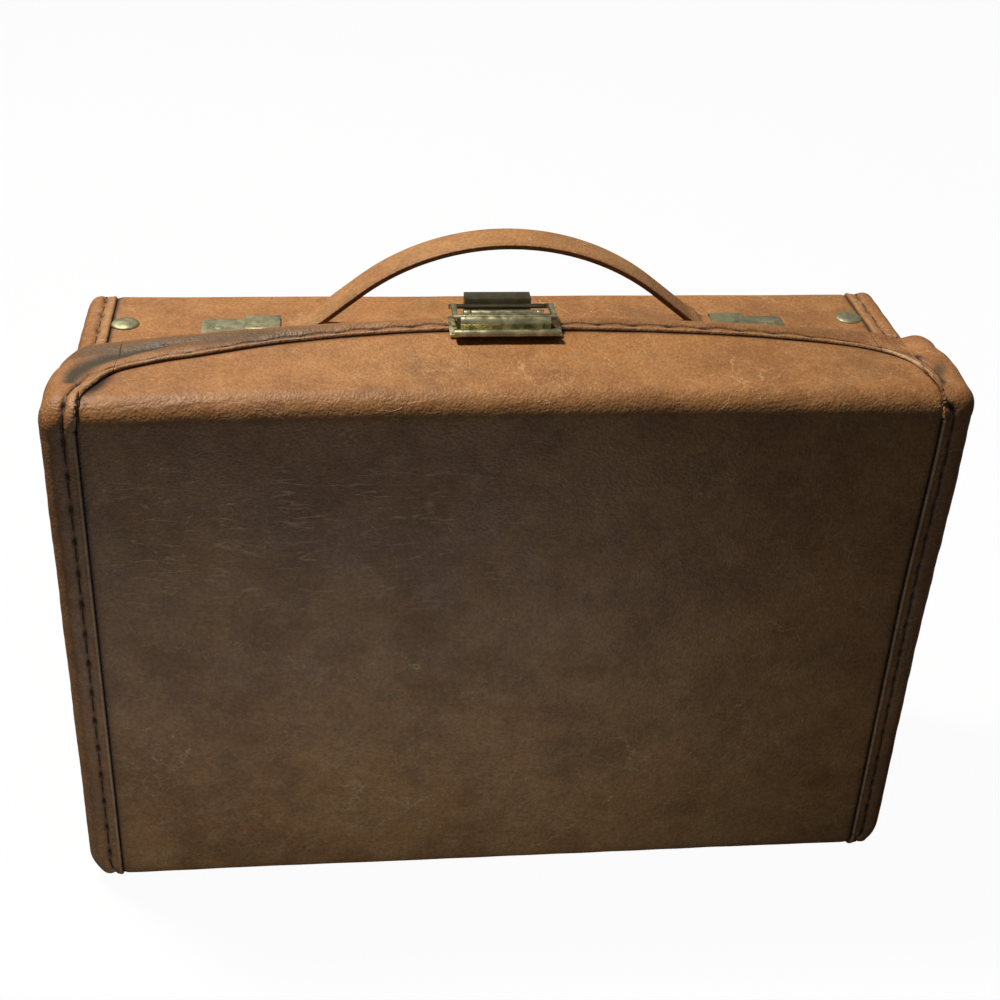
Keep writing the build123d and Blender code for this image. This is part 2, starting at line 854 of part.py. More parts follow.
# Latch plate on the lid, with two ears for the lever's pin
plate_rear_y = lid_rim_y - latch_plate_setback
plate_front_y = plate_rear_y - latch_plate_depth
pivot_y = rim_y - lever_pivot_setback
pivot_z = crown_height(pivot_y) + lever_pivot_rise
ear_x = lever_knuckle_width / 2 + ear_gap + ear_thickness / 2
pin_length = 2 * (ear_x + ear_thickness / 2)


def along_crown(rear, front, low, high):
    """Corners of a strip in the middle plane that follows the slope of the lid's top."""
    return [
        (rear, crown_height(rear) + low),
        (front, crown_height(front) + low),
        (front, crown_height(front) + high),
        (rear, crown_height(rear) + high),
    ]


def latch_axis(y, z):
    """A plane whose normal runs across the case through one pivot of the latch."""
    return Plane((latch_shift, y, z), x_dir=(0, 1, 0), z_dir=(1, 0, 0))


with BuildPart() as latch_plate:
    with BuildSketch(across(latch_shift)):
        with BuildLine():
            Polyline(*along_crown(plate_rear_y, plate_front_y, 0, latch_plate_thickness), close=True)
        make_face()
    extrude(amount=latch_plate_width / 2, both=True)
    for side in (-1, 1):
        with BuildSketch(across(latch_shift + side * ear_x - ear_thickness / 2)):
            with Locations((pivot_y, pivot_z)):
                Circle(lever_knuckle_radius)
            with Locations((pivot_y, pivot_z)):
                Rectangle(
                    2 * lever_knuckle_radius,
                    lever_pivot_rise - latch_plate_thickness / 2,
                    align=(Align.CENTER, Align.MAX),
                )
        extrude(amount=ear_thickness)
    with Locations(latch_axis(pivot_y, pivot_z)):
        Cylinder(lever_pin_radius, 2 * latch_plate_width, mode=Mode.SUBTRACT)
save(latch_plate.part, "latch_plate")

with BuildPart() as lever_pin:
    with Locations(latch_axis(pivot_y, pivot_z)):
        Cylinder(lever_pin_radius, pin_length)
save(lever_pin.part, "lever_pin")

# Latch lever: finger lip, flat, raised bar round the bail's wire, knuckle round the pin
lever_low = latch_plate_thickness + lever_play
lever_tip_y = rim_y - lever_reach
bail_y = rim_y - bail_pivot_setback
bail_z = crown_height(bail_y) + bail_pivot_rise
bar_front_y = bail_y - lever_bar_depth / 2
bar_rear_y = bail_y + lever_bar_depth / 2
lip_z = crown_height(lever_tip_y) + lever_low + lever_lip_radius
with BuildPart() as latch_lever:
    with BuildSketch(across(latch_shift)):
        with BuildLine():
            flat = along_crown(bar_front_y, lever_tip_y, lever_low, lever_low + lever_sheet)
            Polyline(*flat, close=True)
        make_face()
        with Locations((lever_tip_y, lip_z)):
            Circle(lever_lip_radius)
    extrude(amount=lever_width / 2, both=True)
    with BuildSketch(across(latch_shift)) as bar:
        with BuildLine():
            Polyline(*along_crown(bar_rear_y, bar_front_y, lever_low, lever_bar_height), close=True)
        make_face()
        fillet(bar.vertices().sort_by(Axis.Y)[-2:], radius=lever_bar_round)
    extrude(amount=lever_bar_width / 2, both=True)
    with BuildSketch(across(latch_shift)):
        with BuildLine():
            arm_low = lever_pivot_rise - lever_sheet / 2
            Polyline(*along_crown(pivot_y, bail_y, arm_low, arm_low + lever_sheet), close=True)
        make_face()
        with Locations((pivot_y, pivot_z)):
            Circle(lever_knuckle_radius)
    extrude(amount=lever_knuckle_width / 2, both=True)
    with Locations(latch_axis(pivot_y, pivot_z)):
        Cylinder(lever_pin_radius + running_clearance, 2 * lever_width, mode=Mode.SUBTRACT)
    with Locations(latch_axis(bail_y, bail_z)):
        Cylinder(bail_wire_radius + running_clearance, 2 * lever_width, mode=Mode.SUBTRACT)
save(latch_lever.part, "latch_lever")

# Latch bail: a wire loop from the lever's bar down to the keeper's valley
keeper_valley_height = body_top_panel + keeper_valley_rise
keeper_hook_height = keeper_valley_height + keeper_hook_rise
keeper_top_height = keeper_valley_height + keeper_back_rise
bail_end_height = keeper_valley_height + keeper_sheet / 2 + bail_valley_gap + bail_wire_radius
shoulder_y = rim_y + bail_shoulder_past_rim
shoulder_z = bail_z - bail_shoulder_drop
bail_half = bail_width / 2


with BuildPart() as latch_bail:
    for side in (-1, 1):
        with BuildSketch(across(latch_shift + side * bail_half - bail_wire_radius)):
            with BuildLine():
                Polyline(
                    (bail_y, bail_z),
                    (shoulder_y, shoulder_z),
                    (bail_end_y, bail_end_height),
                )
            trace(line_width=2 * bail_wire_radius)
            with Locations((bail_y, bail_z), (bail_end_y, bail_end_height)):
                Circle(bail_wire_radius)
        extrude(amount=2 * bail_wire_radius)
    for wire_y, wire_z in ((bail_y, bail_z), (bail_end_y, bail_end_height)):
        with Locations(latch_axis(wire_y, wire_z)):
            Cylinder(bail_wire_radius, bail_width)
save(latch_bail.part, "latch_bail")

# Latch keeper on the body: hook, valley, raised back and foot from one strip, with two cheeks
half_sheet = keeper_sheet / 2
cheek_x = (keeper_width - keeper_sheet) / 2
with BuildPart() as latch_keeper:
    with BuildSketch(across(latch_shift)):
        with BuildLine():
            Polyline(
                (keeper_front_y + half_sheet, keeper_hook_height),
                (keeper_front_y + half_sheet, keeper_valley_height),
                (keeper_step_y + half_sheet, keeper_valley_height),
                (keeper_step_y + half_sheet, keeper_top_height - half_sheet),
                (keeper_rear_y - half_sheet, keeper_top_height - half_sheet),
                (keeper_rear_y - half_sheet, body_top_panel + half_sheet),
                (keeper_rear_y + keeper_foot_length, body_top_panel + half_sheet),
            )
        trace(line_width=keeper_sheet)
    extrude(amount=keeper_width / 2, both=True)
    for side in (-1, 1):
        with BuildSketch(across(latch_shift + side * cheek_x - half_sheet)):
            with BuildLine():
                Polyline(
                    (keeper_front_y, keeper_valley_height),
                    (keeper_step_y, keeper_valley_height),
                    (keeper_step_y, keeper_top_height - half_sheet),
                    (keeper_rear_y, keeper_top_height - half_sheet),
                    (keeper_rear_y, body_top_panel),
                    (keeper_step_y, body_top_panel),
                    close=True,
                )
            make_face()
        extrude(amount=keeper_sheet)
    with Locations(Plane.XY.offset(body_top_panel)):
        with Locations(keeper_rivet_places):
            Cylinder(
                bracket_rivet_shank_radius,
                2 * (keeper_sheet + cut_margin),
                mode=Mode.SUBTRACT,
            )
save(latch_keeper.part, "latch_keeper")
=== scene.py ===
import math

import bmesh
import bpy
import numpy as np
from bpy.props import FloatProperty, FloatVectorProperty, PointerProperty
from mathutils import Matrix, Vector


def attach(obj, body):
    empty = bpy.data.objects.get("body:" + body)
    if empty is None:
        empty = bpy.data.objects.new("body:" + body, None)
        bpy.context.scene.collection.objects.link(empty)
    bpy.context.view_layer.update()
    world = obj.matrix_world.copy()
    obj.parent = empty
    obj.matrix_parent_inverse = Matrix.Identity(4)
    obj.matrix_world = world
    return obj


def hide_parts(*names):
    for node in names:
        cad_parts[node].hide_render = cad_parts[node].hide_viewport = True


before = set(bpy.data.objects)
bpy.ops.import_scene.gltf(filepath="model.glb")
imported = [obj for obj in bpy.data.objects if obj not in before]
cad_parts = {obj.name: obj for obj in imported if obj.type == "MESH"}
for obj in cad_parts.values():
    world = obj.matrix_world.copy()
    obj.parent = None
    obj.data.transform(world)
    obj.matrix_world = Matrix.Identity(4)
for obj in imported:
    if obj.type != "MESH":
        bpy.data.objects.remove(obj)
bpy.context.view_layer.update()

bl_info = {
    "name": "Cassette case",
    "version": (1, 0, 0),
    "blender": (4, 5, 0),
    "location": "View3D > Sidebar > Case",
    "description": "Leather, stitches, handle, latch and tray of a case for boxed cassettes",
    "category": "Object",
}

MM = 0.001

# All lengths here are in millimetres unless a comment says otherwise.

# The lid's outside: a flat front, bent round to sides that flare to an arched rim. The arch
# drops from its peak by more on the left than on the right, and the right end bulges.
LID_RIM_Y = -3.15
LID_PLANE_Y = -66.0
LID_HALF = 200.0
LID_TOP = 266.5
LID_CORNER = 12.5
LID_BASE_CORNER = 15.0
LID_BEND = 12.0
LID_RIM_CORNER = 18.0
LID_PEAK = 275.0
ARCH_DROP_LEFT = 14.4
ARCH_DROP_RIGHT = 11.4
LID_SEAM_X = 183.5
SEAM_LEAN = 2.0
BULGE = 2.0
LID_MITRE_X = 172.0
LID_HINGE_EDGE_Y = -6.4

# The body's outside: a rounded box
BODY_RIM_Y = -2.85
BODY_PLANE_Y = 66.0
BODY_HALF = 192.9
BODY_TOP = 258.5
BODY_CORNER = 10.0
BODY_BEND = 9.5
BODY_SEAM_X = 177.9
BODY_HINGE_EDGE_Y = 0.4
BODY_PANEL_TOP = 257.9

# Where the lid's front leather starts under the binding, and how far it is tucked under it, how
# far forward the seam's turn begins, and how far the bands stand above the leather beside them
WRAP_START_X = 176.0
TUCK = 1.5
SEAM_TURN_Y = -36.0
BAND_RISE = 0.6

# The turned-in edge at the rims: its rounding, how far it stands proud, how far it goes in
RIM_ROUND = 1.8
RIM_PROUD = 0.1
RIM_TURN_IN = 4.2

# Below this height the rims make room for the hinge
HINGE_NOTCH_TOP = 9.0

# A place inside the case, which every outer face looks away from
CASE_MIDDLE = np.array([0.0, 0.0, 130.0])

# Hollow of the left corner, between the roll and the fold, which gets painted shade: its middle
# line in plan and its half widths
HOLLOW_LEFT = np.array(
    [(150, -12), (163, -16), (174, -19), (182, -25), (186, -33), (187.5, -42)], dtype=float
)
HOLLOW_WIDTHS = np.array([1.2, 2.6, 5.0, 6.0, 5.0, 3.0])

# Plans of the lid's curved seam, from the middle of the top to the front at each end
SEAM_PLAN_LEFT = np.array(
    [(0, -12), (49.5, -13.1), (100.9, -16.6), (134, -22.7), (152.3, -26)]
    + [(170.7, -33), (178, -44.6), (181.7, -55.8), (183.5, -67)]
)
SEAM_PLAN_RIGHT = np.array(
    [(0, -12), (50, -12.6), (100, -13.6), (130, -15), (153, -17.6), (166, -21)]
    + [(175, -26), (181.5, -34), (184.4, -45), (185.2, -56), (185.5, -67)]
)

# Step of the end covers' grids, the lip of a folded edge, a distance that counts as far away,
# and the skirt under a rivet's dome
GRID_STEP = 1.2
FOLD_LIP = 0.2
FAR = 1000.0
DOME_SKIRT = 0.6

# How far the floor lies below the case, and half its width
FLOOR_DROP = 0.4
FLOOR_HALF = 6000.0

# Where a thread's middle lies between two holes, and how long it is, in shares of the pitch
STITCH_START = 0.42
STITCH_LENGTH = 0.5

# Turns a right end into a left one
MIRROR = np.array([-1.0, 1.0, 1.0])

# Rivet heads: what they hold, places in plan, level of the seat, radius and height of the dome,
# and the seed of their unevenness
RIVETS = (
    ("tray", ((-171.8, 28.6), (171.0, 30.6)), BODY_PANEL_TOP, 6.4, 1.7, 41),
    ("bracket", ((-129.0, 22.0), (129.0, 22.0)), BODY_PANEL_TOP + 1.2, 2.0, 0.3, 43),
    ("keeper", ((-11.5, 30.7), (8.5, 30.7)), BODY_PANEL_TOP + 1.4, 2.0, 0.9, 45),
)

# The strap's middle line: half the way between its end faces, its level in the brackets and at
# the crown, how far the crown stands to one side, where the ramps start, the arc at their feet
# and how steep they are
STRAP_HALF = 111.0
STRAP_LOW = 260.8
STRAP_HIGH = 302.5
STRAP_SHIFT = 3.0
STRAP_FOOT = 90.9
STRAP_FOOT_RADIUS = 22.0
STRAP_SLOPE = math.radians(38.3)
STRAP_MIDDLE_Y = 22.0

# The strap's section: it becomes narrow and thin towards the brackets, under a level top, and
# has a wider head inside them
STRAP_HALF_WIDTH = 10.0
STRAP_HALF_THICKNESS = 1.5
STRAP_THIN_X = 95.6
STRAP_END_TOP = 260.88
STRAP_NECK_HALF_WIDTH = 5.2
STRAP_HEAD_X = 109.0
STRAP_HEAD_HALF_WIDTH = 6.5

# Colours that only one place of a finish has
OLIVE_STAIN = (0.20, 0.115, 0.045)
# paler creased leather, with a painted highlight on the front's wrinkle ridges
PALE_WRINKLE_AND_HIGHLIGHT = (0.80, 0.50, 0.27)
PALE_SPECK = (0.80, 0.52, 0.28)
# painted shade of the hollows and rolls at the lid's top corners
SHADED_HIDE = (0.050, 0.036, 0.016)
# paler at rubbed edges, and a painted highlight on a raised fold
SCUFF_AND_HIGHLIGHT = (0.66, 0.40, 0.20)
# painted shade in stitch holes, grooves, gaps and steps, and the strap's darker edges
RECESS_SHADE_AND_DARK_EDGE = (0.010, 0.006, 0.003)

# Where the front is wrinkled, in metres: from 0 to full and back to 0, across and upwards
WRINKLES_ACROSS = (-0.190, -0.165, -0.07, 0.03)
WRINKLES_UP = (0.150, 0.185, 0.225, 0.246)

# The photograph's viewpoint: the camera's axes and place in metres, and its lens
VIEW_RIGHT = (0.99368775, -0.10383588, 0.04245889)
VIEW_DOWN = (-0.01799305, -0.52110789, -0.85330113)
VIEW_AHEAD = (0.11072894, 0.84715092, -0.51968685)
VIEW_PLACE = (-0.08403, -0.6560, 0.5796)
VIEW_SENSOR = 36.0
VIEW_LENS = 57.83

WHITE = (1.0, 1.0, 1.0, 1.0)
COLOUR = {"subtype": "COLOR", "size": 3, "min": 0.0, "max": 1.0}
LENGTH = {"subtype": "DISTANCE", "unit": "LENGTH"}


class LeatherSettings(bpy.types.PropertyGroup):
    """Colours and thickness of the leather"""

    tan: FloatVectorProperty(
        name="Tan",
        description="Main colour of the leather",
        default=(0.47, 0.205, 0.062),
        **COLOUR,
    )
    dark: FloatVectorProperty(
        name="Dark patches",
        description="Colour of the darker, handled patches",
        default=(0.33, 0.135, 0.040),
        **COLOUR,
    )
    crease: FloatVectorProperty(
        name="Creases",
        description="Colour of the light creases",
        default=(0.66, 0.36, 0.15),
        **COLOUR,
    )
    band: FloatVectorProperty(
        name="Bands",
        description="Colour of the stitched end bands",
        default=(0.41, 0.170, 0.052),
        **COLOUR,
    )
    strap: FloatVectorProperty(
        name="Strap",
        description="Colour of the handle's strap",
        default=(0.51, 0.24, 0.078),
        **COLOUR,
    )
    strap_dark: FloatVectorProperty(
        name="Strap, dark patches",
        description="Colour of the strap's darker patches",
        default=(0.37, 0.16, 0.050),
        **COLOUR,
    )
    thickness: FloatProperty(
        name="Thickness",
        description="Thickness of the leather sheet",
        default=0.0009,
        min=0.0003,
        max=0.0015,
        **LENGTH,
    )


class SeamSettings(bpy.types.PropertyGroup):
    """Stitching of the seams"""

    pitch: FloatProperty(
        name="Stitch pitch",
        description="Distance from one stitch hole to the next",
        default=0.0163,
        min=0.008,
        max=0.03,
        **LENGTH,
    )
    inset: FloatProperty(
        name="Stitch inset",
        description="Distance of the stitch holes from the folded edge",
        default=0.0055,
        min=0.003,
        max=0.01,
        **LENGTH,
    )
    thread: FloatVectorProperty(
        name="Thread",
        description="Colour of the waxed thread",
        default=(0.03, 0.018, 0.01),
        **COLOUR,
    )


class MetalSettings(bpy.types.PropertyGroup):
    """Colours and edges of the fittings"""

    brass: FloatVectorProperty(
        name="Brass",
        description="Colour of the aged brass",
        default=(0.66, 0.59, 0.34),
        **COLOUR,
    )
    tarnish: FloatVectorProperty(
        name="Tarnish",
        description="Colour of the tarnished parts of the brass",
        default=(0.34, 0.31, 0.17),
        **COLOUR,
    )
    softness: FloatProperty(
        name="Edge softness",
        description="Radius of the rounded edges of the fittings",
        default=0.0004,
        min=0.0001,
        max=0.001,
        **LENGTH,
    )


class StageSettings(bpy.types.PropertyGroup):
    """Light"""

    key: FloatProperty(
        name="Key light",
        description="Strength of the light from above, in watts",
        default=32.5,
        min=0.0,
        max=200.0,
    )
    bounce: FloatProperty(
        name="Bounced light",
        description="Strength of the light thrown back at the front, in watts",
        default=0.20,
        min=0.0,
        max=5.0,
    )
    fill: FloatProperty(
        name="Fill light",
        description="Strength of the even light from all round",
        default=0.045,
        min=0.0,
        max=2.0,
    )


def smooth_curve(points, steps):
    """Points along a smooth curve through the given ones: each span is a cubic whose end slopes
    are half the difference of the neighbouring points."""
    padded = np.vstack([2 * points[0] - points[1], points, 2 * points[-1] - points[-2]])
    before, start, end, after = padded[:-3], padded[1:-2], padded[2:-1], padded[3:]
    t = np.linspace(0.0, 1.0, steps, endpoint=False)[:, None, None]
    curve = 0.5 * (
        2 * start
        + (end - before) * t
        + (2 * before - 5 * start + 4 * end - after) * t**2
        + (3 * start - before - 3 * end + after) * t**3
    )
    return np.vstack([curve.transpose(1, 0, 2).reshape(-1, 2), points[-1:]])


def ease(value, low, high):
    """From 0 at low to 1 at high, with a smooth start and end."""
    t = np.clip((value - low) / (high - low), 0.0, 1.0)
    return t * t * (3 - 2 * t)


def bell(value, middle, width):
    """A smooth bump of height one."""
    return np.exp(-(((value - middle) / width) ** 2))


def run_along(points):
    """Distance along a row of points, from its first one: the sum of the steps so far."""
    return np.concatenate([[0.0], np.cumsum(np.linalg.norm(np.diff(points, axis=0), axis=1))])


def uneven_steps(ends, counts):
    """Shares of the way, with each stretch between two ends in its own number of steps."""
    spans = [np.linspace(a, b, n)[1:] for a, b, n in zip(ends, ends[1:], counts)]
    return np.concatenate([[ends[0]], *spans])


SEAM_CURVES = {-1: smooth_curve(SEAM_PLAN_LEFT, 24), 1: smooth_curve(SEAM_PLAN_RIGHT, 24)}


def seam_y(x):
    """Depth of the lid's curved seam at a place across the case."""
    left, right = SEAM_CURVES[-1], SEAM_CURVES[1]
    across = np.abs(x)
    return np.where(
        np.asarray(x) < 0,
        np.interp(across, left[:, 0], left[:, 1]),
        np.interp(across, right[:, 0], right[:, 1]),
    )


def seam_reach(y, side):
    """How far from the middle the lid's curved seam has this depth, at one end."""
    curve = SEAM_CURVES[side]
    return np.interp(-np.asarray(y), -curve[:, 1], curve[:, 0])


def front_seam_reach(z, side):
    """How far from the middle the seam runs down the front: it leans out a little at the top
    of the right end."""
    return LID_SEAM_X + (SEAM_LEAN * ease(z, 150.0, 250.0) if side > 0 else 0.0 * z)


class Rim:
    """The lid's arched rim towards one end: a circle through the peak and the dropped end, and
    the rounded corner between it and the side."""

    def __init__(self, drop):
        self.radius = (LID_HALF**2 + drop**2) / (2 * drop)
        reach = self.radius - LID_RIM_CORNER
        self.corner_x = LID_HALF - LID_RIM_CORNER
        self.corner_z = LID_PEAK - self.radius + math.sqrt(reach**2 - self.corner_x**2)
        self.tangent_x = self.corner_x * self.radius / reach
        self.start_angle = math.pi / 2 - math.asin(self.corner_x / reach)

    def height(self, x):
        """Height of the arch at a place across the case."""
        return LID_PEAK - self.radius + np.sqrt(self.radius**2 - np.asarray(x) ** 2)


RIMS = {-1: Rim(ARCH_DROP_LEFT), 1: Rim(ARCH_DROP_RIGHT)}


def arch(x):
    """Height of the lid's arched rim."""
    return np.where(np.asarray(x) < 0, RIMS[-1].height(x), RIMS[1].height(x))


def on_rim(x):
    """Place across on the arched rim of the section line that has this place on the front."""
    return x * np.where(x < 0, RIMS[-1].tangent_x, RIMS[1].tangent_x) / (LID_HALF - LID_CORNER)


class Shell:
    """One half of the case: its outline at the far plane and at the rim, and the bend between."""

    def __init__(self, rim_y, plane_y, half, top, corner, base_corner, bend):
        self.rim_y = rim_y
        self.plane_y = plane_y
        self.half = half
        self.top = top
        self.corner = corner
        self.base_corner = base_corner
        self.bend = bend
        self.depth = abs(rim_y - plane_y)
        self.arched = plane_y < rim_y
        self.sign = 1.0 if self.arched else -1.0

    def outline(self, start_x, end_x, rim):
        """Half of the outline, from the top over one end to the base, as points at the far
        plane, points at the rim and outward normals: straight lines and quarter circles."""
        straight = self.half - self.corner
        base_straight = self.half - self.base_corner

        def count(length):
            """How many points a stretch of this length has, at least three."""
            return max(3, int(round(length / GRID_STEP)))

        parts = []
        finer = 3.0 if self.arched else 1.0
        x = np.linspace(start_x, straight, count(finer * (straight - start_x)), endpoint=False)
        rim_x = x * (rim.tangent_x / straight if self.arched else 1.0)
        rim_z = rim.height(rim_x) if self.arched else np.full_like(x, self.top)
        parts.append((x, np.full_like(x, self.top), rim_x, rim_z, 0 * x, 0 * x + 1))
        t = np.linspace(0, 1, count(4.0 * self.corner), endpoint=False)
        angle = math.pi / 2 * (1 - t)
        centre_z = self.top - self.corner
        px = straight + self.corner * np.cos(angle)
        pz = centre_z + self.corner * np.sin(angle)
        if self.arched:
            rim_angle = rim.start_angle * (1 - t)
            rx = rim.corner_x + LID_RIM_CORNER * np.cos(rim_angle)
            rz = rim.corner_z + LID_RIM_CORNER * np.sin(rim_angle)
        else:
            rx, rz = px, pz
        parts.append((px, pz, rx, rz, np.cos(angle), np.sin(angle)))
        t = np.linspace(0, 1, count(centre_z - self.base_corner), endpoint=False)
        pz = centre_z + (self.base_corner - centre_z) * t
        rim_high = rim.corner_z if self.arched else centre_z
        rz = rim_high + (self.base_corner - rim_high) * t
        side = np.full_like(t, self.half)
        parts.append((side, pz, side, rz, 0 * t + 1, 0 * t))
        t = np.linspace(0, 1, count(1.6 * self.base_corner), endpoint=False)
        angle = -math.pi / 2 * t
        px = base_straight + self.base_corner * np.cos(angle)
        pz = self.base_corner + self.base_corner * np.sin(angle)
        parts.append((px, pz, px, pz, np.cos(angle), np.sin(angle)))
        x = np.linspace(base_straight, end_x, count(base_straight - end_x))
        parts.append((x, 0 * x, x, 0 * x, 0 * x, 0 * x - 1))
        return [np.concatenate(column) for column in zip(*parts)]

    def bend_centre(self, slope):
        """Inward offset of the bend's centre, where the section reaches the far plane."""
        return self.bend * (np.sqrt(1 + slope**2) - slope)

    def lengths(self, slope, depth):
        """Lengths along the section: turn-in, rim round, side, bend, up to the far plane."""
        root = np.sqrt(1 + slope**2)
        tangent = self.bend * (1 - slope / root)
        lean = np.arctan(slope)
        rim_tangent = depth + RIM_PROUD - RIM_ROUND * (1 + slope / root)
        turn = np.full_like(slope, RIM_TURN_IN)
        rim_arc = RIM_ROUND * (math.pi / 2 + lean)
        side = (rim_tangent - tangent) * root
        bend_arc = self.bend * (math.pi / 2 - lean)
        return turn, rim_arc, side, bend_arc

    def section(self, slope, depth, along):
        """Depth from the far plane and inward offset at a length along the section. The turn-in
        lies on the rim plane, a small arc leads to the leaning side, a large arc to the plane."""
        root = np.sqrt(1 + slope**2)
        lean = np.arctan(slope)
        turn, rim_arc, side, bend_arc = self.lengths(slope, depth)
        rim_plane = depth + RIM_PROUD
        rim_centre = rim_plane - RIM_ROUND
        rim_inner = -slope * rim_centre + RIM_ROUND * root
        bend_centre = self.bend_centre(slope)
        a_turn = rim_plane + 0 * along
        b_turn = rim_inner + (turn - along)
        phi = np.clip((along - turn) / RIM_ROUND, 0, math.pi)
        a_rim = rim_centre + RIM_ROUND * np.cos(phi)
        b_rim = rim_inner - RIM_ROUND * np.sin(phi)
        a_side = rim_centre - RIM_ROUND * slope / root - (along - turn - rim_arc) / root
        b_side = -slope * a_side
        psi = lean + (along - turn - rim_arc - side) / self.bend
        a_bend = self.bend * (1 - np.sin(psi))
        b_bend = bend_centre - self.bend * np.cos(psi)
        past = along - turn - rim_arc - side - bend_arc
        zones = [along < turn, along < turn + rim_arc, along < turn + rim_arc + side, past < 0]
        a = np.select(zones, [a_turn, a_rim, a_side, a_bend], 0 * along)
        b = np.select(zones, [b_turn, b_rim, b_side, b_bend], bend_centre + past)
        return a, b

    def along_at(self, slope, depth, a):
        """Length along the section where it reaches this depth from the far plane."""
        root = np.sqrt(1 + slope**2)
        lean = np.arctan(slope)
        turn, rim_arc, side = self.lengths(slope, depth)[:3]
        rim_tangent = depth + RIM_PROUD - RIM_ROUND * (1 + slope / root)
        tangent = self.bend * (1 - slope / root)
        on_side = turn + rim_arc + (rim_tangent - a) * root
        psi = np.arcsin(np.clip(1 - a / self.bend, -1, 1))
        on_bend = turn + rim_arc + side + self.bend * (psi - lean)
        return np.where(a >= tangent, on_side, on_bend)


LID = Shell(LID_RIM_Y, LID_PLANE_Y, LID_HALF, LID_TOP, LID_CORNER, LID_BASE_CORNER, LID_BEND)
BODY = Shell(BODY_RIM_Y, BODY_PLANE_Y, BODY_HALF, BODY_TOP, BODY_CORNER, BODY_CORNER, BODY_BEND)


def grid_normals(points, outward):
    """Unit normals of a grid of points: the cross product of its two directions, turned so that
    on the whole they point away from the given place."""
    du = np.gradient(points, axis=0)
    dv = np.gradient(points, axis=1)
    normals = np.cross(du, dv)
    length = np.linalg.norm(normals, axis=2, keepdims=True)
    normals = normals / np.maximum(length, 1e-9)
    if np.sum(normals * (points - outward)) < 0:
        normals = -normals
    return normals


def ripple(x, y, z, size, seed):
    """A smooth, repeatable unevenness between about -1 and 1: a sum of six plane waves whose
    directions and phases come from a seeded generator."""
    rng = np.random.default_rng(seed)
    total = 0.0
    for _ in range(6):
        direction = rng.normal(size=3)
        direction /= np.linalg.norm(direction)
        wave = 2 * math.pi / (size * rng.uniform(0.7, 1.6))
        phase = rng.uniform(0, 2 * math.pi)
        total = total + np.sin(
            wave * (direction[0] * x + direction[1] * y + direction[2] * z) + phase
        )
    return total / 3.0


def grid_mesh(name, points, attributes=None, closed_v=False):
    """A mesh from a grid of points in millimetres: each cell is one face, wound so that the
    faces follow the grid's first direction crossed with its second."""
    rows, cols = points.shape[:2]
    mesh = bpy.data.meshes.new(name)
    index = np.arange(rows * cols).reshape(rows, cols)
    if closed_v:
        right = np.roll(index, -1, axis=1)
        a, b, c, d = index[:-1], right[:-1], right[1:], index[1:]
    else:
        a, b, c, d = index[:-1, :-1], index[:-1, 1:], index[1:, 1:], index[1:, :-1]
    faces = np.stack([d, c, b, a], axis=-1).reshape(-1, 4)
    mesh.from_pydata((points.reshape(-1, 3) * MM).tolist(), [], faces.tolist())
    for key, values in (attributes or {}).items():
        layer = mesh.attributes.new(key, "FLOAT", "POINT")
        layer.data.foreach_set("value", np.asarray(values, np.float32).ravel())
    mesh.polygons.foreach_set("use_smooth", np.ones(len(mesh.polygons), bool))
    mesh.update()
    return mesh


def facing_out(points, attributes, middle, closed_v=False):
    """The grid and its attributes in the row order for which grid_mesh winds the faces away from
    the given places: the grid's first direction crossed with its second points outwards."""
    du = np.gradient(points, axis=0)
    dv = np.roll(points, -1, axis=1) - points if closed_v else np.gradient(points, axis=1)
    if np.sum(np.cross(du, dv) * (points - middle)) < 0:
        points = points[::-1]
        attributes = {key: value[::-1] for key, value in attributes.items()}
    return points, attributes


def make_piece(name, mesh, body, material, nodes=()):
    """An object for a mesh, with its material, riding on a body and standing for CAD nodes."""
    piece = bpy.data.objects.new(name, mesh)
    bpy.context.scene.collection.objects.link(piece)
    piece.data.materials.append(material)
    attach(piece, body)
    if nodes:
        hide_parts(*nodes)
    return piece


def sheet_piece(name, points, attributes, body, material, nodes, thickness):
    """A leather sheet: the outer surface as a grid, thickened inwards."""
    mesh = grid_mesh(name, *facing_out(points, attributes, CASE_MIDDLE))
    piece = make_piece(name, mesh, body, material, nodes)
    wall = piece.modifiers.new("Thickness", "SOLIDIFY")
    wall.thickness = thickness
    wall.offset = -1.0
    wall.use_rim = True
    return piece


class Nodes:
    """A node tree being put together: each call adds one node and returns it or its output."""

    def __init__(self, owner, output):
        owner.use_nodes = True
        self.tree = owner.node_tree
        self.tree.nodes.clear()
        self.output = self.tree.nodes.new(output)

    def add(self, kind, settings=None, **inputs):
        """One node of this kind, its settings, and its inputs by name or as i and a number."""
        made = self.tree.nodes.new(kind)
        for key, value in (settings or {}).items():
            setattr(made, key, value)
        for key, value in inputs.items():
            numbered = key[0] == "i" and key[1:].isdigit()
            self.feed(made.inputs[int(key[1:]) if numbered else key.replace("_", " ")], value)
        return made

    def feed(self, socket, value):
        """Link an output to a socket, or set the socket's own value."""
        if hasattr(value, "is_output"):
            self.tree.links.new(value, socket)
            return
        if socket.type == "RGBA" and len(value) == 3:
            value = (*value, 1.0)
        socket.default_value = value

    def math(self, operation, first, second=0.0):
        """One sum."""
        return self.add("ShaderNodeMath", {"operation": operation}, i0=first, i1=second).outputs[0]

    def rays(self):
        """Whether a ray comes from the camera or through glass, and whether it is a reflection
        or looks for a lamp."""
        path = self.tree.nodes.new("ShaderNodeLightPath").outputs
        looked_at = self.math("MAXIMUM", path["Is Camera Ray"], path["Is Transmission Ray"])
        return looked_at, path["Is Glossy Ray"], path["Is Shadow Ray"]

    def blend(self, factor, first, second):
        """Two shaders mixed by a factor."""
        return self.add("ShaderNodeMixShader", i0=factor, i1=first, i2=second).outputs[0]


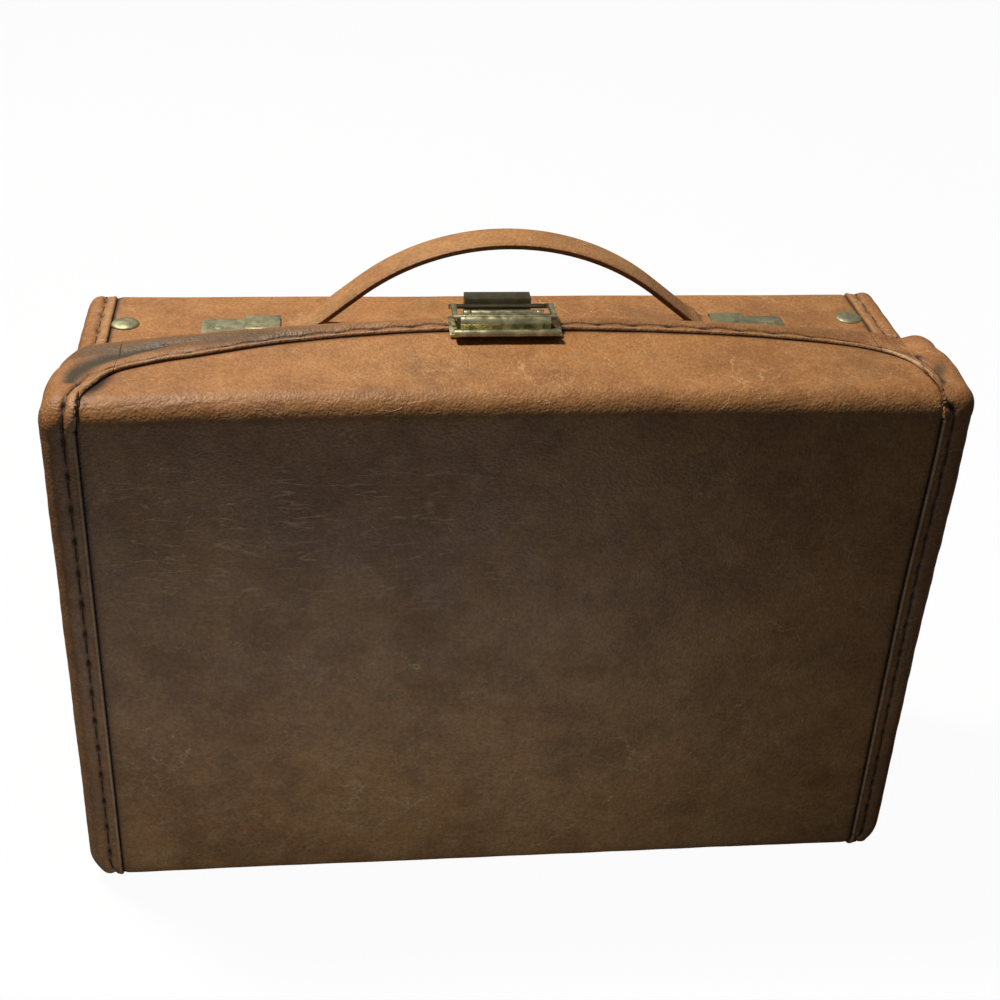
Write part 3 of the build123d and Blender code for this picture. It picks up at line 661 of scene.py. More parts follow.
class Finish(Nodes):
    """The nodes of a material, with patterns on object coordinates."""

    def __init__(self, name):
        self.material = bpy.data.materials.new(name)
        super().__init__(self.material, "ShaderNodeOutputMaterial")
        self.shader = self.tree.nodes.new("ShaderNodeBsdfPrincipled")
        self.feed(self.output.inputs[0], self.shader.outputs[0])
        self.place = self.tree.nodes.new("ShaderNodeTexCoord").outputs["Object"]

    def scaled(self, size, stretch=(1.0, 1.0, 1.0), source=None):
        """Object coordinates in steps of a size in metres, stretched in each direction."""
        scale = tuple(1.0 / (size * share) for share in stretch)
        return self.add("ShaderNodeMapping", Vector=source or self.place, Scale=scale).outputs[0]

    def noise(self, size, detail=3.0, rough=0.55, warp=0.0, vector=None, stretch=(1.0, 1.0, 1.0)):
        """Cloudy noise whose main patches are about this size in metres."""
        made = self.add(
            "ShaderNodeTexNoise",
            Vector=self.scaled(size, stretch, vector),
            Scale=1.0,
            Detail=detail,
            Roughness=rough,
            Distortion=warp,
        )
        return made.outputs["Fac"]

    def cells(self, size, feature="F1", vector=None):
        """Distances in a pattern of cells of about this size in metres."""
        source = self.scaled(size, source=vector)
        made = self.add("ShaderNodeTexVoronoi", {"feature": feature}, Vector=source, Scale=1.0)
        return made.outputs["Distance"]

    def warped(self, size, amount):
        """Object coordinates pushed about by noise, by up to this amount in metres."""
        noise = self.add(
            "ShaderNodeTexNoise",
            Vector=self.scaled(size),
            Scale=1.0,
            Detail=3.0,
            Roughness=0.55,
        )
        centred = self.vector("SUBTRACT", noise.outputs["Color"], i1=(0.5, 0.5, 0.5))
        return self.vector("ADD", self.place, i1=self.vector("SCALE", centred, Scale=2 * amount))

    def vector(self, operation, first, **second):
        """One sum of vectors."""
        made = self.add("ShaderNodeVectorMath", {"operation": operation}, i0=first, **second)
        return made.outputs[0]

    def ramp(self, value, low, high, start=0.0, end=1.0):
        """Value mapped from low..high to start..end, smoothly and clamped."""
        made = self.add(
            "ShaderNodeMapRange",
            {"interpolation_type": "SMOOTHSTEP"},
            Value=value,
            From_Min=low,
            From_Max=high,
            To_Min=start,
            To_Max=end,
        )
        return made.outputs[0]

    def within(self, value, bounds, last=0.0):
        """From 0 to 1 between the first two bounds, and on to last between the other two."""
        rise = self.ramp(value, bounds[0], bounds[1])
        return self.math("MULTIPLY", rise, self.ramp(value, bounds[2], bounds[3], 1.0, last))

    def mix(self, factor, first, second, blend="MIX"):
        """Two colours mixed by a factor."""
        made = self.tree.nodes.new("ShaderNodeMix")
        made.data_type = "RGBA"
        made.blend_type = blend
        self.feed(made.inputs[0], factor)
        for socket, value in zip([s for s in made.inputs if s.type == "RGBA"], (first, second)):
            self.feed(socket, value)
        return [s for s in made.outputs if s.type == "RGBA"][0]

    def attribute(self, name):
        """A number stored on the mesh."""
        return self.add("ShaderNodeAttribute", {"attribute_name": name}).outputs["Fac"]

    def axis(self, number):
        """One object coordinate, in metres."""
        return self.add("ShaderNodeSeparateXYZ", i0=self.place).outputs[number]

    def bump(self, height, distance, strength=1.0, normal=None):
        """Surface relief from a height between 0 and 1, this deep in metres."""
        made = self.add("ShaderNodeBump", Strength=strength, Distance=distance, Height=height)
        if normal is not None:
            self.feed(made.inputs["Normal"], normal)
        return made.outputs[0]

    def finish(self, colour, roughness, normal=None, **sockets):
        """Feed the shader."""
        self.feed(self.shader.inputs["Base Color"], colour)
        self.feed(self.shader.inputs["Roughness"], roughness)
        if normal is not None:
            self.feed(self.shader.inputs["Normal"], normal)
        for key, value in sockets.items():
            self.feed(self.shader.inputs[key.replace("_", " ")], value)
        return self.material


def leather(name, base, dark, crease, wrinkled):
    """Smooth finished hide: mottled colour, fine pebble grain, light crease veins and specks.
    wrinkled adds the long wrinkles of the front, whose pale ridges are partly a painted highlight.
    The marks stored on the mesh darken and lighten it: painted shade in pits, grooves, gaps and
    hollows, the strap's darker edges, rubbed edges, and a painted highlight on a raised fold."""
    f = Finish(name)
    tone = f.ramp(f.noise(0.045, 6.0, 0.66), 0.34, 0.62)
    colour = f.mix(tone, dark, base)
    warm = f.ramp(f.noise(0.010, 6.0, 0.75), 0.44, 0.72, 0.0, 0.30)
    colour = f.mix(warm, colour, crease)
    olive = f.ramp(f.noise(0.030, 4.0, 0.7, 0.4), 0.50, 0.68, 0.0, 0.30)
    colour = f.mix(olive, colour, OLIVE_STAIN)
    pushed = f.warped(0.012, 0.006)
    vein = f.cells(0.020, "DISTANCE_TO_EDGE", pushed)
    patch = f.ramp(f.noise(0.035, 3.0), 0.47, 0.60)
    line = f.math("MULTIPLY", f.ramp(vein, 0.0, 0.016, 1.0, 0.0), patch)
    fine_vein = f.cells(0.006, "DISTANCE_TO_EDGE", f.warped(0.005, 0.003))
    fine_patch = f.ramp(f.noise(0.028, 3.0, 0.5, 0.0, None, (1.4, 1.0, 1.0)), 0.54, 0.68)
    fine_line = f.math("MULTIPLY", f.ramp(fine_vein, 0.0, 0.05, 0.6, 0.0), fine_patch)
    creases = f.math("MAXIMUM", line, fine_line)
    if wrinkled:
        wave = f.noise(0.0046, 2.0, 0.45, 0.25, f.warped(0.03, 0.005), (11.0, 8.0, 1.0))
        ridge = f.ramp(f.math("ABSOLUTE", f.math("SUBTRACT", wave, 0.5)), 0.0, 0.022, 1.0, 0.0)
        across = f.within(f.axis(0), WRINKLES_ACROSS, 0.15)
        where = f.math("MULTIPLY", across, f.within(f.axis(2), WRINKLES_UP))
        where = f.math("MULTIPLY", where, f.ramp(f.noise(0.03, 2.0), 0.33, 0.55))
        wrinkles = f.math("MULTIPLY", ridge, where)
        # the wrinkle ridges paler: partly the creased leather's colour, partly a painted highlight
        colour = f.mix(f.math("MULTIPLY", wrinkles, 0.42), colour, PALE_WRINKLE_AND_HIGHLIGHT)
        creases = f.math("MAXIMUM", creases, wrinkles)
    # the creases paler; on the front's wrinkles partly a painted highlight
    colour = f.mix(f.math("MULTIPLY", creases, 0.75), colour, crease)
    speck = f.ramp(f.cells(0.0042, "F1"), 0.04, 0.09, 1.0, 0.0)
    speck = f.math("MULTIPLY", speck, f.ramp(f.noise(0.012), 0.50, 0.6))
    colour = f.mix(f.math("MULTIPLY", speck, 0.5), colour, PALE_SPECK)
    fibre = f.ramp(f.noise(0.0018, 4.0, 0.75), 0.3, 0.7, 0.74, 1.14)
    grey = f.add("ShaderNodeCombineColor", i0=fibre, i1=fibre, i2=fibre)
    colour = f.mix(1.0, colour, grey.outputs[0], "MULTIPLY")
    # painted shade of the hollows and rolls at the lid's top corners
    colour = f.mix(f.attribute("shade"), colour, SHADED_HIDE)
    # paler at rubbed edges; on the left corner's raised fold this is a painted highlight
    uneven = f.ramp(f.noise(0.006, 4.0), 0.35, 0.6, 0.45, 1.0)
    colour = f.mix(f.math("MULTIPLY", f.attribute("wear_and_highlight"), uneven), colour, SCUFF_AND_HIGHLIGHT)
    # painted shade in stitch holes, grooves and the gaps and steps beside the bands; the strap's
    # edges darker
    colour = f.mix(f.attribute("pit"), colour, RECESS_SHADE_AND_DARK_EDGE)
    pebble = f.ramp(f.cells(0.0014, "F1", f.warped(0.003, 0.0012)), 0.05, 0.85, 1.0, 0.0)
    grain = f.bump(pebble, 0.00020, 0.7)
    grain = f.bump(f.noise(0.0009, 3.0, 0.65), 0.00012, 0.7, grain)
    relief = f.bump(creases, 0.00014, 1.0, grain)
    relief = f.bump(f.noise(0.006, 3.0, 0.6), 0.00022, 0.5, relief)
    rough = f.ramp(f.noise(0.03, 3.0), 0.3, 0.7, 0.46, 0.60)
    return f.finish(colour, rough, relief, Specular_IOR_Level=0.40)


def brass_finish(name, base, tarnish, shine):
    """Aged brass: metal with cloudy tarnish, fine scratches and small dents."""
    f = Finish(name)
    cloud = f.ramp(f.noise(0.006, 5.0, 0.65), 0.38, 0.66)
    colour = f.mix(cloud, tarnish, base)
    scratch = f.noise(0.0009, 3.0, 0.6, 0.0, None, (9.0, 1.0, 1.0))
    dent = f.noise(0.0022, 3.0, 0.6)
    normal = f.bump(scratch, 0.00003, 0.5)
    normal = f.bump(dent, 0.00014, 0.5, normal)
    rough = f.ramp(f.noise(0.004, 4.0), 0.3, 0.7, shine, shine + 0.22)
    return f.finish(colour, rough, normal, Metallic=1.0)


def fibre_finish(name, base, second, size, rough, depth):
    """A matt fibrous surface, such as pressed board, lining felt or flock."""
    f = Finish(name)
    cloud = f.ramp(f.noise(size * 18, 4.0, 0.6), 0.3, 0.7)
    fleck = f.ramp(f.noise(size, 4.0, 0.75), 0.35, 0.65)
    colour = f.mix(f.math("MULTIPLY", f.math("ADD", cloud, fleck), 0.5), base, second)
    normal = f.bump(f.noise(size * 0.7, 3.0, 0.7), depth, 0.7)
    return f.finish(colour, rough, normal, Specular_IOR_Level=0.25)


# Every finish by its name, filled by prepare_materials
MATERIALS = {}


def prepare_materials(scene):
    """All finishes, from the settings."""
    skin, seam, metal = scene.case_leather, scene.case_seam, scene.case_metal
    for name, base, dark, wrinkled in (
        ("leather_front", skin.tan, skin.dark, True),
        ("leather_body", skin.tan, skin.dark, False),
        ("leather_band", skin.band, skin.dark, False),
        ("strap", skin.strap, skin.strap_dark, False),
    ):
        MATERIALS[name] = leather(name, base, dark, skin.crease, wrinkled)
    for name, base, tarnish, shine in (
        ("brass", metal.brass, metal.tarnish, 0.22),
        ("brass_dull", (0.36, 0.335, 0.20), (0.27, 0.25, 0.15), 0.45),
        ("steel", (0.52, 0.50, 0.44), (0.22, 0.19, 0.15), 0.3),
    ):
        MATERIALS[name] = brass_finish(name, base, tarnish, shine)
    for name, base, second, size, rough, depth in (
        ("thread", seam.thread, (0.06, 0.04, 0.025), 0.0004, 0.6, 0.0001),
        ("board", (0.30, 0.19, 0.115), (0.42, 0.28, 0.17), 0.0012, 0.8, 0.0001),
        ("paper", (0.20, 0.115, 0.070), (0.28, 0.165, 0.10), 0.0008, 0.75, 0.00008),
        ("lining", (0.30, 0.15, 0.09), (0.42, 0.225, 0.135), 0.0007, 0.9, 0.00015),
        ("flock", (0.21, 0.105, 0.062), (0.31, 0.165, 0.10), 0.0006, 0.95, 0.00015),
    ):
        MATERIALS[name] = fibre_finish(name, base, second, size, rough, depth)


def edge_drop(distance, radius, depth):
    """How far a folded edge rolls down: nothing beyond the radius, a quarter circle within."""
    inside = np.clip(1 - distance / radius, 0, 1)
    return -depth * (1 - np.sqrt(np.clip(1 - inside**2, 0, 1)))


def stitch_phase(run, pitch):
    """Share of the way from one stitch hole to the next, and distance to the nearer hole."""
    share = run / pitch - np.floor(run / pitch)
    return share, np.minimum(share, 1 - share) * pitch


def oval(x, y, centre, direction, long, short):
    """A smooth spot of height one in plan, stretched along a direction."""
    length = math.hypot(*direction)
    ux, uy = direction[0] / length, direction[1] / length
    dx, dy = x - centre[0], y - centre[1]
    return np.exp(-(((dx * ux + dy * uy) / long) ** 2) - (((dy * ux - dx * uy) / short) ** 2))


def thread_run(line, up, run, pitch, start, length):
    """Middle, direction and outward normal of each thread along a stitch line given by its
    points, their normals and their distances along the line."""
    steps = np.arange(math.ceil(run[0] / pitch), math.floor(run[-1] / pitch))
    places = steps * pitch + start
    places = places[(places > run[0] + length) & (places < run[-1] - length)]

    def at(values, where):
        """Points or normals at these distances along the line."""
        return np.stack([np.interp(where, run, values[:, k]) for k in range(3)], axis=-1)

    ahead = at(line, places + length / 2) - at(line, places - length / 2)
    ahead /= np.linalg.norm(ahead, axis=1, keepdims=True)
    return at(line, places), ahead, at(up, places)


def near_path(x, y, path, widths):
    """A smooth mask in plan: one along a path, falling off at its half widths."""
    t = np.linspace(0, len(path) - 1, 60)
    number = np.arange(len(path))
    cx, cy, w = (np.interp(t, number, values) for values in (path[:, 0], path[:, 1], widths))
    gap = np.hypot(x[..., None] - cx, y[..., None] - cy) / w
    return np.exp(-(gap.min(axis=-1) ** 3))


def nearest_on_line(points, line, run):
    """Distance of each point of a grid from a line given by its points, and how far along the
    line the nearest place is."""
    steps = np.arange(0.0, run[-1], 0.4)
    dense = np.stack([np.interp(steps, run, line[:, k]) for k in range(3)], axis=-1)
    gap = np.linalg.norm(points[:, :, None, :] - dense, axis=-1)
    which = gap.argmin(axis=-1)
    return gap.min(axis=-1), steps[which]


def sewn_edge(from_edge, from_rim, near, phase, deep, line):
    """Relief beside a sewn edge, with painted shade in its holes, its crease or groove and at the
    edge's lip. The edge rolls down and has a bead; behind it runs the stitch line, a scalloped
    crease where deep is 0 and a groove with holes where deep is 1; behind that the leather is
    padded, and again along the rim."""
    puff = np.sin(math.pi * phase) ** 2
    drawn = 0.55 + 0.45 * bell(near, 0.0, 3.0)
    crease = line + (1 - deep) * (0.9 * puff - 0.5)
    relief = edge_drop(from_edge, 0.9, 1.55) + 0.40 * bell(from_edge, 1.15, 0.75)
    relief -= (0.45 + 0.40 * deep * drawn) * bell(from_edge, crease, 0.5 + 0.65 * deep)
    hole = np.exp(-((near / 1.7) ** 2) - (((from_edge - crease) / 0.85) ** 2))
    relief -= (0.35 + 0.65 * deep) * hole
    roll = bell(from_edge, crease + 3.4 + 1.8 * deep, 2.6 + 0.4 * deep)
    relief += (0.55 + 0.40 * deep) * roll * (0.80 + 0.20 * puff)
    relief += 0.9 * bell(from_rim, 5.5, 4.2)
    # painted shade in the stitch holes, along the crease or groove, and at the folded edge's lip
    pit = (0.7 + 0.5 * deep) * hole
    pit += (0.50 - 0.05 * deep * (1 - drawn)) * bell(from_edge, crease, 0.4 + 0.4 * deep)
    pit += 0.75 * (from_edge < FOLD_LIP)
    return relief, pit


def left_corner(x, y, z, from_rim):
    """Relief and painted shade of the lid's left top corner: a hollow behind the fold with painted
    shade, and painted shade on the roll beside it, fading out towards the middle of the case."""
    high = ease(z, 242.0, 254.0)
    hollow = near_path(-x, y, HOLLOW_LEFT, HOLLOW_WIDTHS) * high
    olive = bell(from_rim, 9.0, 8.0) * ease(-x, 40.0, 120.0) * (1 - 0.8 * ease(-x, 184.0, 197.0))
    return -0.7 * hollow, 1.0 * hollow + 0.72 * olive * high * (1 - hollow)


def thread_mesh(name, runs, length, radius, lift):
    """Short waxed threads: each is a closed capsule, its radius falling to nothing at the ends
    as a half ellipse."""
    middle, ahead, up = (np.concatenate(column) for column in zip(*runs))
    beside = np.cross(ahead, up)
    t = np.linspace(-1, 1, 9)
    size = radius * np.sqrt(np.clip(1 - t**4, 0, 1))
    around = np.linspace(0, 2 * math.pi, 6, endpoint=False)
    bow = lift * (1 - t**2)
    points = (
        middle[:, None, None]
        + (ahead[:, None, None] * (t * length / 2)[None, :, None, None])
        + up[:, None, None] * (bow[:, None] + size[:, None] * np.sin(around))[None, :, :, None]
        + beside[:, None, None] * (size[:, None] * np.cos(around))[None, :, :, None]
    )
    count, rings, ring = points.shape[:3]
    index = np.arange(count * rings * ring).reshape(count, rings, ring)
    right = np.roll(index, -1, axis=2)
    faces = np.stack([index[:, :-1], right[:, :-1], right[:, 1:], index[:, 1:]], axis=-1)
    mesh = bpy.data.meshes.new(name)
    mesh.from_pydata((points.reshape(-1, 3) * MM).tolist(), [], faces.reshape(-1, 4).tolist())
    bm = opened(mesh)
    bmesh.ops.recalc_face_normals(bm, faces=bm.faces)
    return closed(bm, mesh)


def opened(mesh):
    """An editable copy of a mesh, its doubled points merged."""
    bm = bmesh.new()
    bm.from_mesh(mesh)
    bmesh.ops.remove_doubles(bm, verts=bm.verts, dist=1e-6)
    return bm


def fill_openings(bm):
    """Caps on the open edges."""
    bmesh.ops.holes_fill(bm, edges=[e for e in bm.edges if e.is_boundary], sides=0)


def closed(bm, mesh, smooth=True):
    """The edited copy put into a mesh, with smooth faces."""
    if smooth:
        for face in bm.faces:
            face.smooth = True
    bm.to_mesh(mesh)
    bm.free()
    return mesh


def marks(pit, wear_and_highlight, shade):
    """What a sheet stores for its finish: painted shade in pits, grooves and gaps, rubbed edges
    and a painted highlight, and painted shade in hollows.
    """
    return {"pit": np.clip(pit, 0, 0.97), "wear_and_highlight": wear_and_highlight, "shade": np.clip(shade, 0, 1)}


class EndGrid:
    """The smooth surface of an end cover: rows follow the outline, columns run from the rim's
    turn-in over the side and the bend to the seam. With it go the distances that the sewn edge
    and the stitches follow."""

    def __init__(self, shell, seam, start_x, side):
        """Each place is a point of the outline, moved inwards by the section's offset and
        towards the rim's outline by its depth; past the bend it goes straight to the seam."""
        rim = RIMS[side] if shell.arched else None
        px, pz, rx, rz, self.nx, self.nz = shell.outline(start_x, seam, rim)
        nx, nz = self.nx, self.nz
        notch = abs((LID_HINGE_EDGE_Y if shell.arched else BODY_HINGE_EDGE_Y) - shell.rim_y)
        depth = shell.depth - (rz < HINGE_NOTCH_TOP) * (notch + RIM_PROUD)
        slope = ((rx - px) * nx + (rz - pz) * nz) / shell.depth
        tx = ((rx - px) - nx * slope * shell.depth) / shell.depth
        tz = ((rz - pz) - nz * slope * shell.depth) / shell.depth
        full = sum(shell.lengths(slope, depth))
        inward = shell.bend_centre(slope)
        bx, bz = px - nx * inward, pz - nz * inward
        seam_here = front_seam_reach(bz, side) if shell.arched else seam + 0 * bz
        flat = np.maximum(bx - seam_here, 0.0)
        total = full + flat
        if shell.arched:
            on_top = (nx == 0) & (nz > 0) & (px < seam_here)
            a0 = seam_y(side * px) - shell.plane_y
            a1 = np.clip(seam_y(side * (px + tx * a0)) - shell.plane_y, 0.0, shell.depth)
            total = np.where(on_top, shell.along_at(slope, depth, a1), total)
        t = uneven_steps((0.0, 0.12, 0.85, 0.985, 1.0), (16, 66, 34, 7))
        self.along = total[:, None] * t[None, :]
        a, b = shell.section(slope[:, None], depth[:, None], self.along)
        x = px[:, None] - nx[:, None] * b + tx[:, None] * a
        z = pz[:, None] - nz[:, None] * b + tz[:, None] * a
        past = np.clip(self.along - full[:, None], 0, None)
        share = np.where(flat[:, None] > 0, past / np.maximum(flat[:, None], 1e-6), 0.0)
        x = np.where(past > 0, bx[:, None] + (seam_here - bx)[:, None] * share, x)
        z = np.where(past > 0, bz[:, None] + 0 * share, z)
        y = shell.plane_y + shell.sign * a
        self.points = np.stack([x, y, z], axis=-1)
        self.from_rim = np.clip(self.along - RIM_TURN_IN, 0, None)
        self.from_seam = total[:, None] - self.along
        self.outline_run = run_along(np.stack([px, pz], axis=-1))

    def follow_seam(self, arched, inset):
        """Distance from the sewn edge, place along it, and the line of the stitches. The edge of
        an arched cover is its curved seam; the other covers' edge also turns along the rows at
        both ends, where the place goes on round the corner."""
        points, outline_run = self.points, self.outline_run
        edge = points[:, -1]
        run = run_along(edge)
        inset_here = inset - (2.2 * (1 - ease(run, 4.0, 24.0)) if arched else 0 * run)
        self.line = inset_here[:, None]
        to_first = outline_run[:, None] + (FAR if arched else 0.0)
        to_last = outline_run[-1] - outline_run[:, None]
        place = run[:, None] + 0 * self.along
        if arched:
            corner = np.where(self.nz > 0.02)[0]
            reach = len(corner) + 60
            gap, beside = nearest_on_line(points[corner], edge[:reach], run[:reach])
            use = gap < self.from_seam[corner]
            place[corner] = np.where(use, beside, place[corner])
            self.from_seam[corner] = np.minimum(gap, self.from_seam[corner])
        self.first = 0 if arched else int(np.argmin(np.abs(outline_run - inset)))
        self.last = int(np.argmin(np.abs(to_last[:, 0] - inset)))
        rest = self.from_seam - self.line
        place = np.where(to_last < self.from_seam, run[self.last] + rest, place)
        self.place = np.where(to_first < self.from_seam, run[self.first] - rest, place)
        self.from_edge = np.minimum(np.minimum(self.from_seam, to_last), to_first)

    def stitches(self, points, normals, arched, inset, pitch):
        """Threads along the seam's stitch line and along the rows at the ends."""
        inside = (self.along > RIM_TURN_IN + 5.0) & (self.from_seam > inset)
        rows = np.arange(self.first, self.last + 1)
        nearest = np.argmin(np.abs(self.from_seam - self.line), axis=1)[rows]
        down = np.where(inside[self.last])[0][::-1]
        legs = [(rows, nearest), (np.full_like(down, self.last), down)]
        if not arched:
            columns = np.where(inside[self.first])[0]
            legs.insert(0, (np.full_like(columns, self.first), columns))
        picked = tuple(np.concatenate(leg) for leg in zip(*legs))
        way = np.maximum.accumulate(self.place[picked] + 1e-6 * np.arange(len(picked[0])))
        start, length = STITCH_START * pitch, STITCH_LENGTH * pitch
        return thread_run(points[picked], normals[picked], way, pitch, start, length)


def end_cover(shell, seam, start_x, pitch, inset, side, seed):
    """One end cover: the smooth surface, a beaded fold edge, a stitch groove with its holes, a
    padded roll and the forms of its corner, and the threads. It is worked out for the right end;
    the left end is its mirror image with forms of its own."""
    arched = shell.arched
    grid = EndGrid(shell, seam, start_x, side)
    grid.follow_seam(arched, inset)
    from_edge, from_rim, line = grid.from_edge, grid.from_rim, grid.line
    x, y, z = np.moveaxis(grid.points, -1, 0)
    normals = grid_normals(grid.points, CASE_MIDDLE)
    phase, near = stitch_phase(grid.place, pitch)
    deep = ease(grid.place, 4.0, 30.0) if arched else np.ones_like(from_edge)
    relief, pit = sewn_edge(from_edge, from_rim, near, phase, deep, line)
    relief += 0.10 * ripple(x, y, z, 26.0, seed) + 0.07 * ripple(x, y, z, 8.0, seed + 1)
    shade = np.zeros_like(from_edge)
    wear_and_highlight = 0.75 * bell(from_edge, 0.75, 0.45)
    round_corner = (2 * grid.nx * np.clip(grid.nz, 0, 1))[:, None]
    outer = ease(from_edge, 5.0, 15.0)
    if not arched:
        # the body's ends are flatter, and the right one is fuller towards the top
        relief -= 0.25 * bell(from_edge, 0.0, 6.0) + 0.9 * bell(from_rim, 5.5, 4.2)
        # lighter painted shade in the body's stitch holes and groove, and some at the folded
        # edge's lip
        pit = 0.55 * pit + 0.2 * (from_edge < FOLD_LIP)
        wear_and_highlight = wear_and_highlight + 0.30 * bell(from_edge, 3.0, 1.6)
        if side > 0:
            relief += 1.3 * ease(z, 60.0, 200.0) * outer
    elif side < 0:
        # the lid's left top corner: a hollow and roll with painted shade, a raised fold with
        # painted shade and a painted highlight, a belly in the roll
        upper = ease(z, 238.0, 252.0) * deep
        sink, shade = left_corner(-x, y, z, from_rim)
        relief += sink + 0.8 * bell(from_edge, 2.4, 1.8) * upper
        belly = 1.9 * bell(from_rim, 30.0, 18.0) - 1.6 * bell(from_rim, 3.0, 10.0)
        relief += belly * round_corner * outer
        # painted shade along the raised fold's stitch line
        pit += 0.35 * bell(from_edge, line, 0.7) * upper
        # a painted highlight on the raised fold
        wear_and_highlight = wear_and_highlight + 0.35 * bell(from_edge, 2.6, 1.6) * ease(z, 236.0, 250.0) * deep
    else:
        # the lid's right end bulges; its top corner has a fuller roll, a drawn-in shoulder, a
        # shallow hollow with painted shade, and a small hole beside the seam shown by painted
        # shade
        high = ease(z, 242.0, 254.0)
        relief += BULGE * ease(z, 110.0, 235.0) * ease(x, 184.0, 196.0) * outer
        relief += (1.8 + 2.2 * bell(from_rim, 26.0, 17.0)) * round_corner * outer
        shoulder = bell(x, 185.0, 8.0) * ease(x, 172.0, 177.0) * ease(z, 250.0, 258.0)
        relief -= 1.7 * shoulder * outer
        # painted shade in the shallow hollow
        dark = oval(x, y, (190.5, -41.0), (-1.0, -6.0), 8.0, 2.4) * high
        relief -= 0.6 * dark
        shade = 0.8 * dark
        # painted shade for the small hole, which has no depth
        pit += oval(x, y, (184.6, -27.5), (1.0, -0.5), 2.6, 1.5) * high
        wear_and_highlight = wear_and_highlight + 0.5 * bell(from_edge, 0.9, 0.8) * ease(z, 180.0, 240.0)
    points = grid.points + normals * relief[:, :, None]
    points[:, :, 2] = np.maximum(points[:, :, 2], 0.0)  # pressed flat where the case stands
    threads = grid.stitches(points, normals, arched, inset, pitch)
    if side < 0:
        points = points * MIRROR
        threads = tuple(part * MIRROR for part in threads)
    return points, marks(pit, wear_and_highlight, shade), threads


def binding(pitch, seed):
    """The strip between the lid's arched rim and its curved seam: columns across the case, rows
    from the rim's turn-in forward to the folded edge. It is a padded roll with a scalloped
    crease behind the folded edge, drawn in at each stitch."""
    x = np.linspace(-LID_MITRE_X, LID_MITRE_X, 420)
    rim_x = on_rim(x)
    lean = (rim_x - x) / LID.depth
    slope = (arch(rim_x) - LID_TOP) / LID.depth
    depth = np.full_like(x, LID.depth)
    reach = seam_y(x) - LID_PLANE_Y
    reach = np.clip(seam_y(x + lean * reach) - LID_PLANE_Y, 0.0, LID.depth)
    total = LID.along_at(slope, depth, reach)
    t = uneven_steps((0.0, 0.40, 0.62, 0.97, 1.0), (14, 12, 40, 6))
    along = total[:, None] * t[None, :]
    a, b = LID.section(slope[:, None], depth[:, None], along)
    y = LID_PLANE_Y + a
    z = LID_TOP - b
    wide = x[:, None] + lean[:, None] * a
    points = np.stack([wide, y, z], axis=-1)
    normals = grid_normals(points, CASE_MIDDLE)
    from_edge = total[:, None] - along
    from_rim = np.clip(along - RIM_TURN_IN, 0, None)
    run = run_along(points[:, -1])
    run = np.minimum(run, run[-1] - run)
    phase, near = stitch_phase(run[:, None] + 0 * from_edge, pitch)
    wander = 0.3 * ripple(wide, 0 * y, 0 * z, 23.0, seed + 3) * ease(run, 2.0, 20.0)[:, None]
    relief, pit = sewn_edge(from_edge, from_rim, near, phase, 0 * from_edge, 3.3 + wander)
    fade = ease(run, 0.0, 8.0)[:, None]
    relief += fade * 0.10 * ripple(wide, y, z, 9.0, seed)
    relief += fade * 0.04 * ripple(wide, y, z, 3.0, seed + 1)
    # painted shade in the left corner's hollow and on its roll, and a little more along the rim
    # towards the left
    sink, shade = left_corner(wide, y, z, from_rim)
    shade = shade + 0.20 * bell(from_rim, 7.0, 6.0) * ease(wide, -120.0, 0.0) * fade
    relief += sink - 0.04 * (1 - ease(run, 0.0, 0.8))[:, None]
    points = points + normals * relief[:, :, None]
    tick = np.exp(-((near / 1.3) ** 2)) * bell(from_edge, 3.4, 1.9)
    wear_and_highlight = 0.55 * bell(from_edge, 0.8, 0.5) + 0.40 * tick * ease(-wide, -200.0, -20.0)
    return points, marks(pit, wear_and_highlight, shade)


def wrap_grid(shell, seam, edge_y, columns, rows):
    """The smooth leather over top, far face and underside: columns are lines that follow the
    section at one place across, rows run from the seam or rim to the hinge. Also each column's
    share of the way from the middle to the seam."""
    inner = np.linspace(-0.985, 0.985, columns)
    fringe = np.linspace(0.985, 1.0, 8)[1:]
    share = np.concatenate([-fringe[::-1], inner, fringe])[:, None]
    across = share * seam
    depth = np.full_like(across, shell.depth)
    slope, start = 0 * across, 0 * across
    if shell.arched:
        slope = (arch(on_rim(across)) - shell.top) / shell.depth
        start_a = seam_y(share * WRAP_START_X) - shell.plane_y
        start = shell.along_at(slope, depth, start_a) - TUCK
    full = sum(shell.lengths(slope, depth))
    inward = shell.bend_centre(slope)
    drop = shell.top - inward - shell.bend
    base = abs(edge_y - shell.plane_y) - shell.bend
    longest = np.array([np.max(full - start), np.max(drop), shell.bend * math.pi / 2, base])
    counts = np.maximum((longest / longest.sum() * rows).astype(int), 12)
    counts += np.array([rows // 10, 0, 0, 0])
    t1, t2, _, t4 = (np.linspace(0, 1, count)[None, :] for count in counts)
    t3 = np.linspace(0, 1, 14)[None, 1:] * math.pi / 2
    top_a, b = shell.section(slope, depth, start + (full - start) * t1)
    top_z = shell.top - b
    far_z = shell.top - inward - drop * t2[:, 1:]
    bend_z = shell.bend * (1 - np.sin(t3)) + 0 * across
    bend_a = shell.bend * (1 - np.cos(t3)) + 0 * across
    base_a = shell.bend + base * t4[:, 1:] + 0 * across
    a = np.concatenate([top_a, 0 * far_z, bend_a, base_a], axis=1)
    z = np.concatenate([top_z, far_z, bend_z, 0 * base_a], axis=1)
    x = across + 0 * z
    y = shell.plane_y + shell.sign * a
    if shell.arched:
        left, right = front_seam_reach(z, -1), front_seam_reach(z, 1)
        reach = np.where(share < 0, left, right)
        ahead = np.minimum(y, SEAM_TURN_Y)
        limit = np.where(share < 0, seam_reach(ahead, -1), seam_reach(ahead, 1))
        on_top = np.arange(z.shape[1]) < top_z.shape[1]
        x = share * np.where(on_top, np.minimum(limit, reach), reach)
    return np.stack([x, y, z], axis=-1), share


